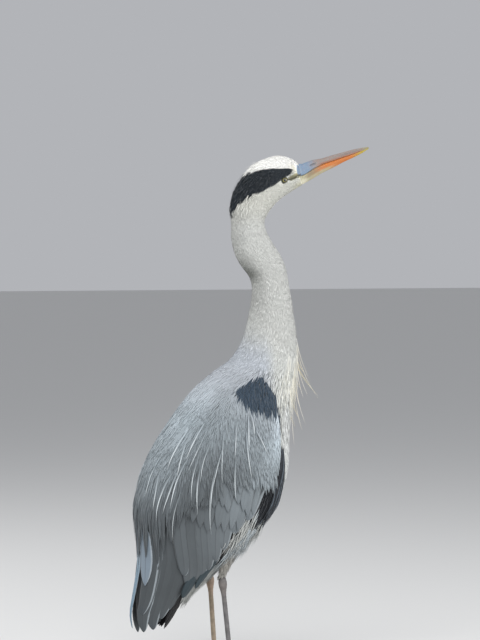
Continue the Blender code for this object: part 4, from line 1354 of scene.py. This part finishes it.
def joined(name, pieces):
    bpy.ops.object.select_all(action="DESELECT")
    for piece in pieces:
        piece.select_set(True)
    bpy.context.view_layer.objects.active = pieces[0]
    bpy.ops.object.join()
    whole = bpy.context.object
    bpy.ops.object.transform_apply(location=True, rotation=True, scale=True)
    whole.name = whole.data.name = name
    whole.data.materials.clear()
    whole.data.materials.append(legMaterial)
    return whole


def scutes(foot, name, leg):
    # overlapping plates down the front of the shank and along the top of each toe
    mesh = foot.data
    co, normal = np.zeros((2, len(mesh.vertices) * 3), np.float32)
    mesh.vertices.foreach_get("co", co)
    mesh.vertices.foreach_get("normal", normal)
    co, normal = co.reshape(-1, 3).astype(float) / mm, normal.reshape(-1, 3).astype(float)
    away = co - legPoint(leg["foot"] + 1, leg["side"] * legForm["spread"], 0)
    reach = np.hypot(away[:, 0], away[:, 1])
    shank = past(co[:, 2], 14, 6)
    front = shank * smooth((-normal[:, 1] - 0.1) / 0.5)
    upper = (1 - shank) * past(normal[:, 2], 0.1, 0.5)
    step, toeStep = co[:, 2] / scuteForm["shank"] % 1, reach / scuteForm["toe"] % 1
    plates = front * (scuteForm["shankDeep"] * step ** 0.6 - scuteForm["sunk"])
    plates += upper * (scuteForm["toeDeep"] * (1 - toeStep) ** 0.6 - scuteForm["sunk"]) * past(reach, 4, 3)
    co = co + normal * plates[:, None]
    co[:, 2] = np.where(co[:, 2] < scuteForm["sole"], 0.0, co[:, 2])
    mesh.vertices.foreach_set("co", (co * mm).astype(np.float32).ravel())
    seam = upper * past(toeStep, 0.86, 0.1) + front * (1 - smooth(co[:, 2] / scuteForm["shank"] % 1 / 0.14))
    # the far leg paler and its tan band stronger, the near leg darker: one skin colour, with painted light on
    # the far leg and painted shade on the near one
    warm = bell(co[:, 2], scuteForm["warmUp"], 14) * scuteForm["warm"][name]
    paint(mesh, blend(scuteForm["hue"][name], "legWarm", warm) * (1 - scuteForm["seamDark"] * seam)[:, None])
    mesh.update()


def legFinish():
    material, tree, shader = newMaterial("legSkin", 0.55, Specular_IOR_Level=0.4)
    scales = texture(tree, "Voronoi", 620)
    scales.feature = "DISTANCE_TO_EDGE"
    grime = texture(tree, "Noise", 120, detail=5).outputs["Fac"]
    groove = mathNode(tree, "MINIMUM", mathNode(tree, "MULTIPLY", scales.outputs["Distance"], 9.0), 1.0)
    shade = mathNode(tree, "MULTIPLY", mathNode(tree, "MULTIPLY_ADD", groove, 0.22, 0.8),
                     mathNode(tree, "MULTIPLY_ADD", grime, 1.5, 0.25))
    finished(tree, shader, tinted(tree, shade), groove, 0.5)
    return material


legMaterial = legFinish()
clawMaterial = hornFinish("clawHorn", 0.35, 0.4)
for name, leg in legForm["legs"].items():
    makeLeg(name, leg)
print("legs made")

# floor, light and camera
studio = {
    "floor": 60.0, "floorColour": (0.66, 0.66, 0.65, 1), "world": (0.93, 0.95, 1.0, 1), "worldStrength": 0.48,
    "lampAim": (0, 0, 0.45),
    "lamps": [   # name, place, size, watts
        ("key", (-2.6, 1.4, 3.2), 2.8, 126), ("fill", (-2.4, -3.2, 1.5), 3.0, 102),
        ("back", (2.4, 2.0, 2.6), 2.2, 60)],
}
bpy.ops.mesh.primitive_plane_add(size=studio["floor"], location=(0, 0, 0))
floor = bpy.context.object
floor.name = "studio_floor"
floorMaterial, _, shader = newMaterial("floorFinish", 0.75, Base_Color=studio["floorColour"])
floor.data.materials.append(floorMaterial)
world = bpy.data.worlds.new("studio")
bpy.context.scene.world = world
world.use_nodes = True
sky = world.node_tree.nodes["Background"].inputs
sky[0].default_value, sky[1].default_value = studio["world"], studio["worldStrength"]
for name, spot, size, watts in studio["lamps"]:
    data = bpy.data.lights.new(name, "AREA")
    data.size, data.energy = size, watts
    lamp = placed(name, data)
    lamp.location = spot
    lamp.rotation_euler = (Vector(studio["lampAim"]) - Vector(spot)).to_track_quat("-Z", "Y").to_euler()

shot = {"azimuth": -112, "elevation": 1.5, "away": 6.0, "tall": 0.992, "right": 0.0357, "up": 0.5456}
turn, tilt = math.radians(shot["azimuth"]), math.radians(shot["elevation"])
back = Vector((math.sin(turn) * math.cos(tilt), -math.cos(turn) * math.cos(tilt), math.sin(tilt)))
rightward = (-back).cross(Vector((0, 0, 1))).normalized()
camera = placed("camera", bpy.data.cameras.new("camera"))
camera.data.lens = camera.data.sensor_width * shot["away"] / shot["tall"]
camera.location = Vector((0, middle * mm, shot["up"])) + rightward * shot["right"] + back * shot["away"]
camera.rotation_euler = (-back).to_track_quat("-Z", "Y").to_euler()
bpy.context.scene.camera = camera
bpy.context.scene.view_settings.view_transform = "Standard"
print("studio set")
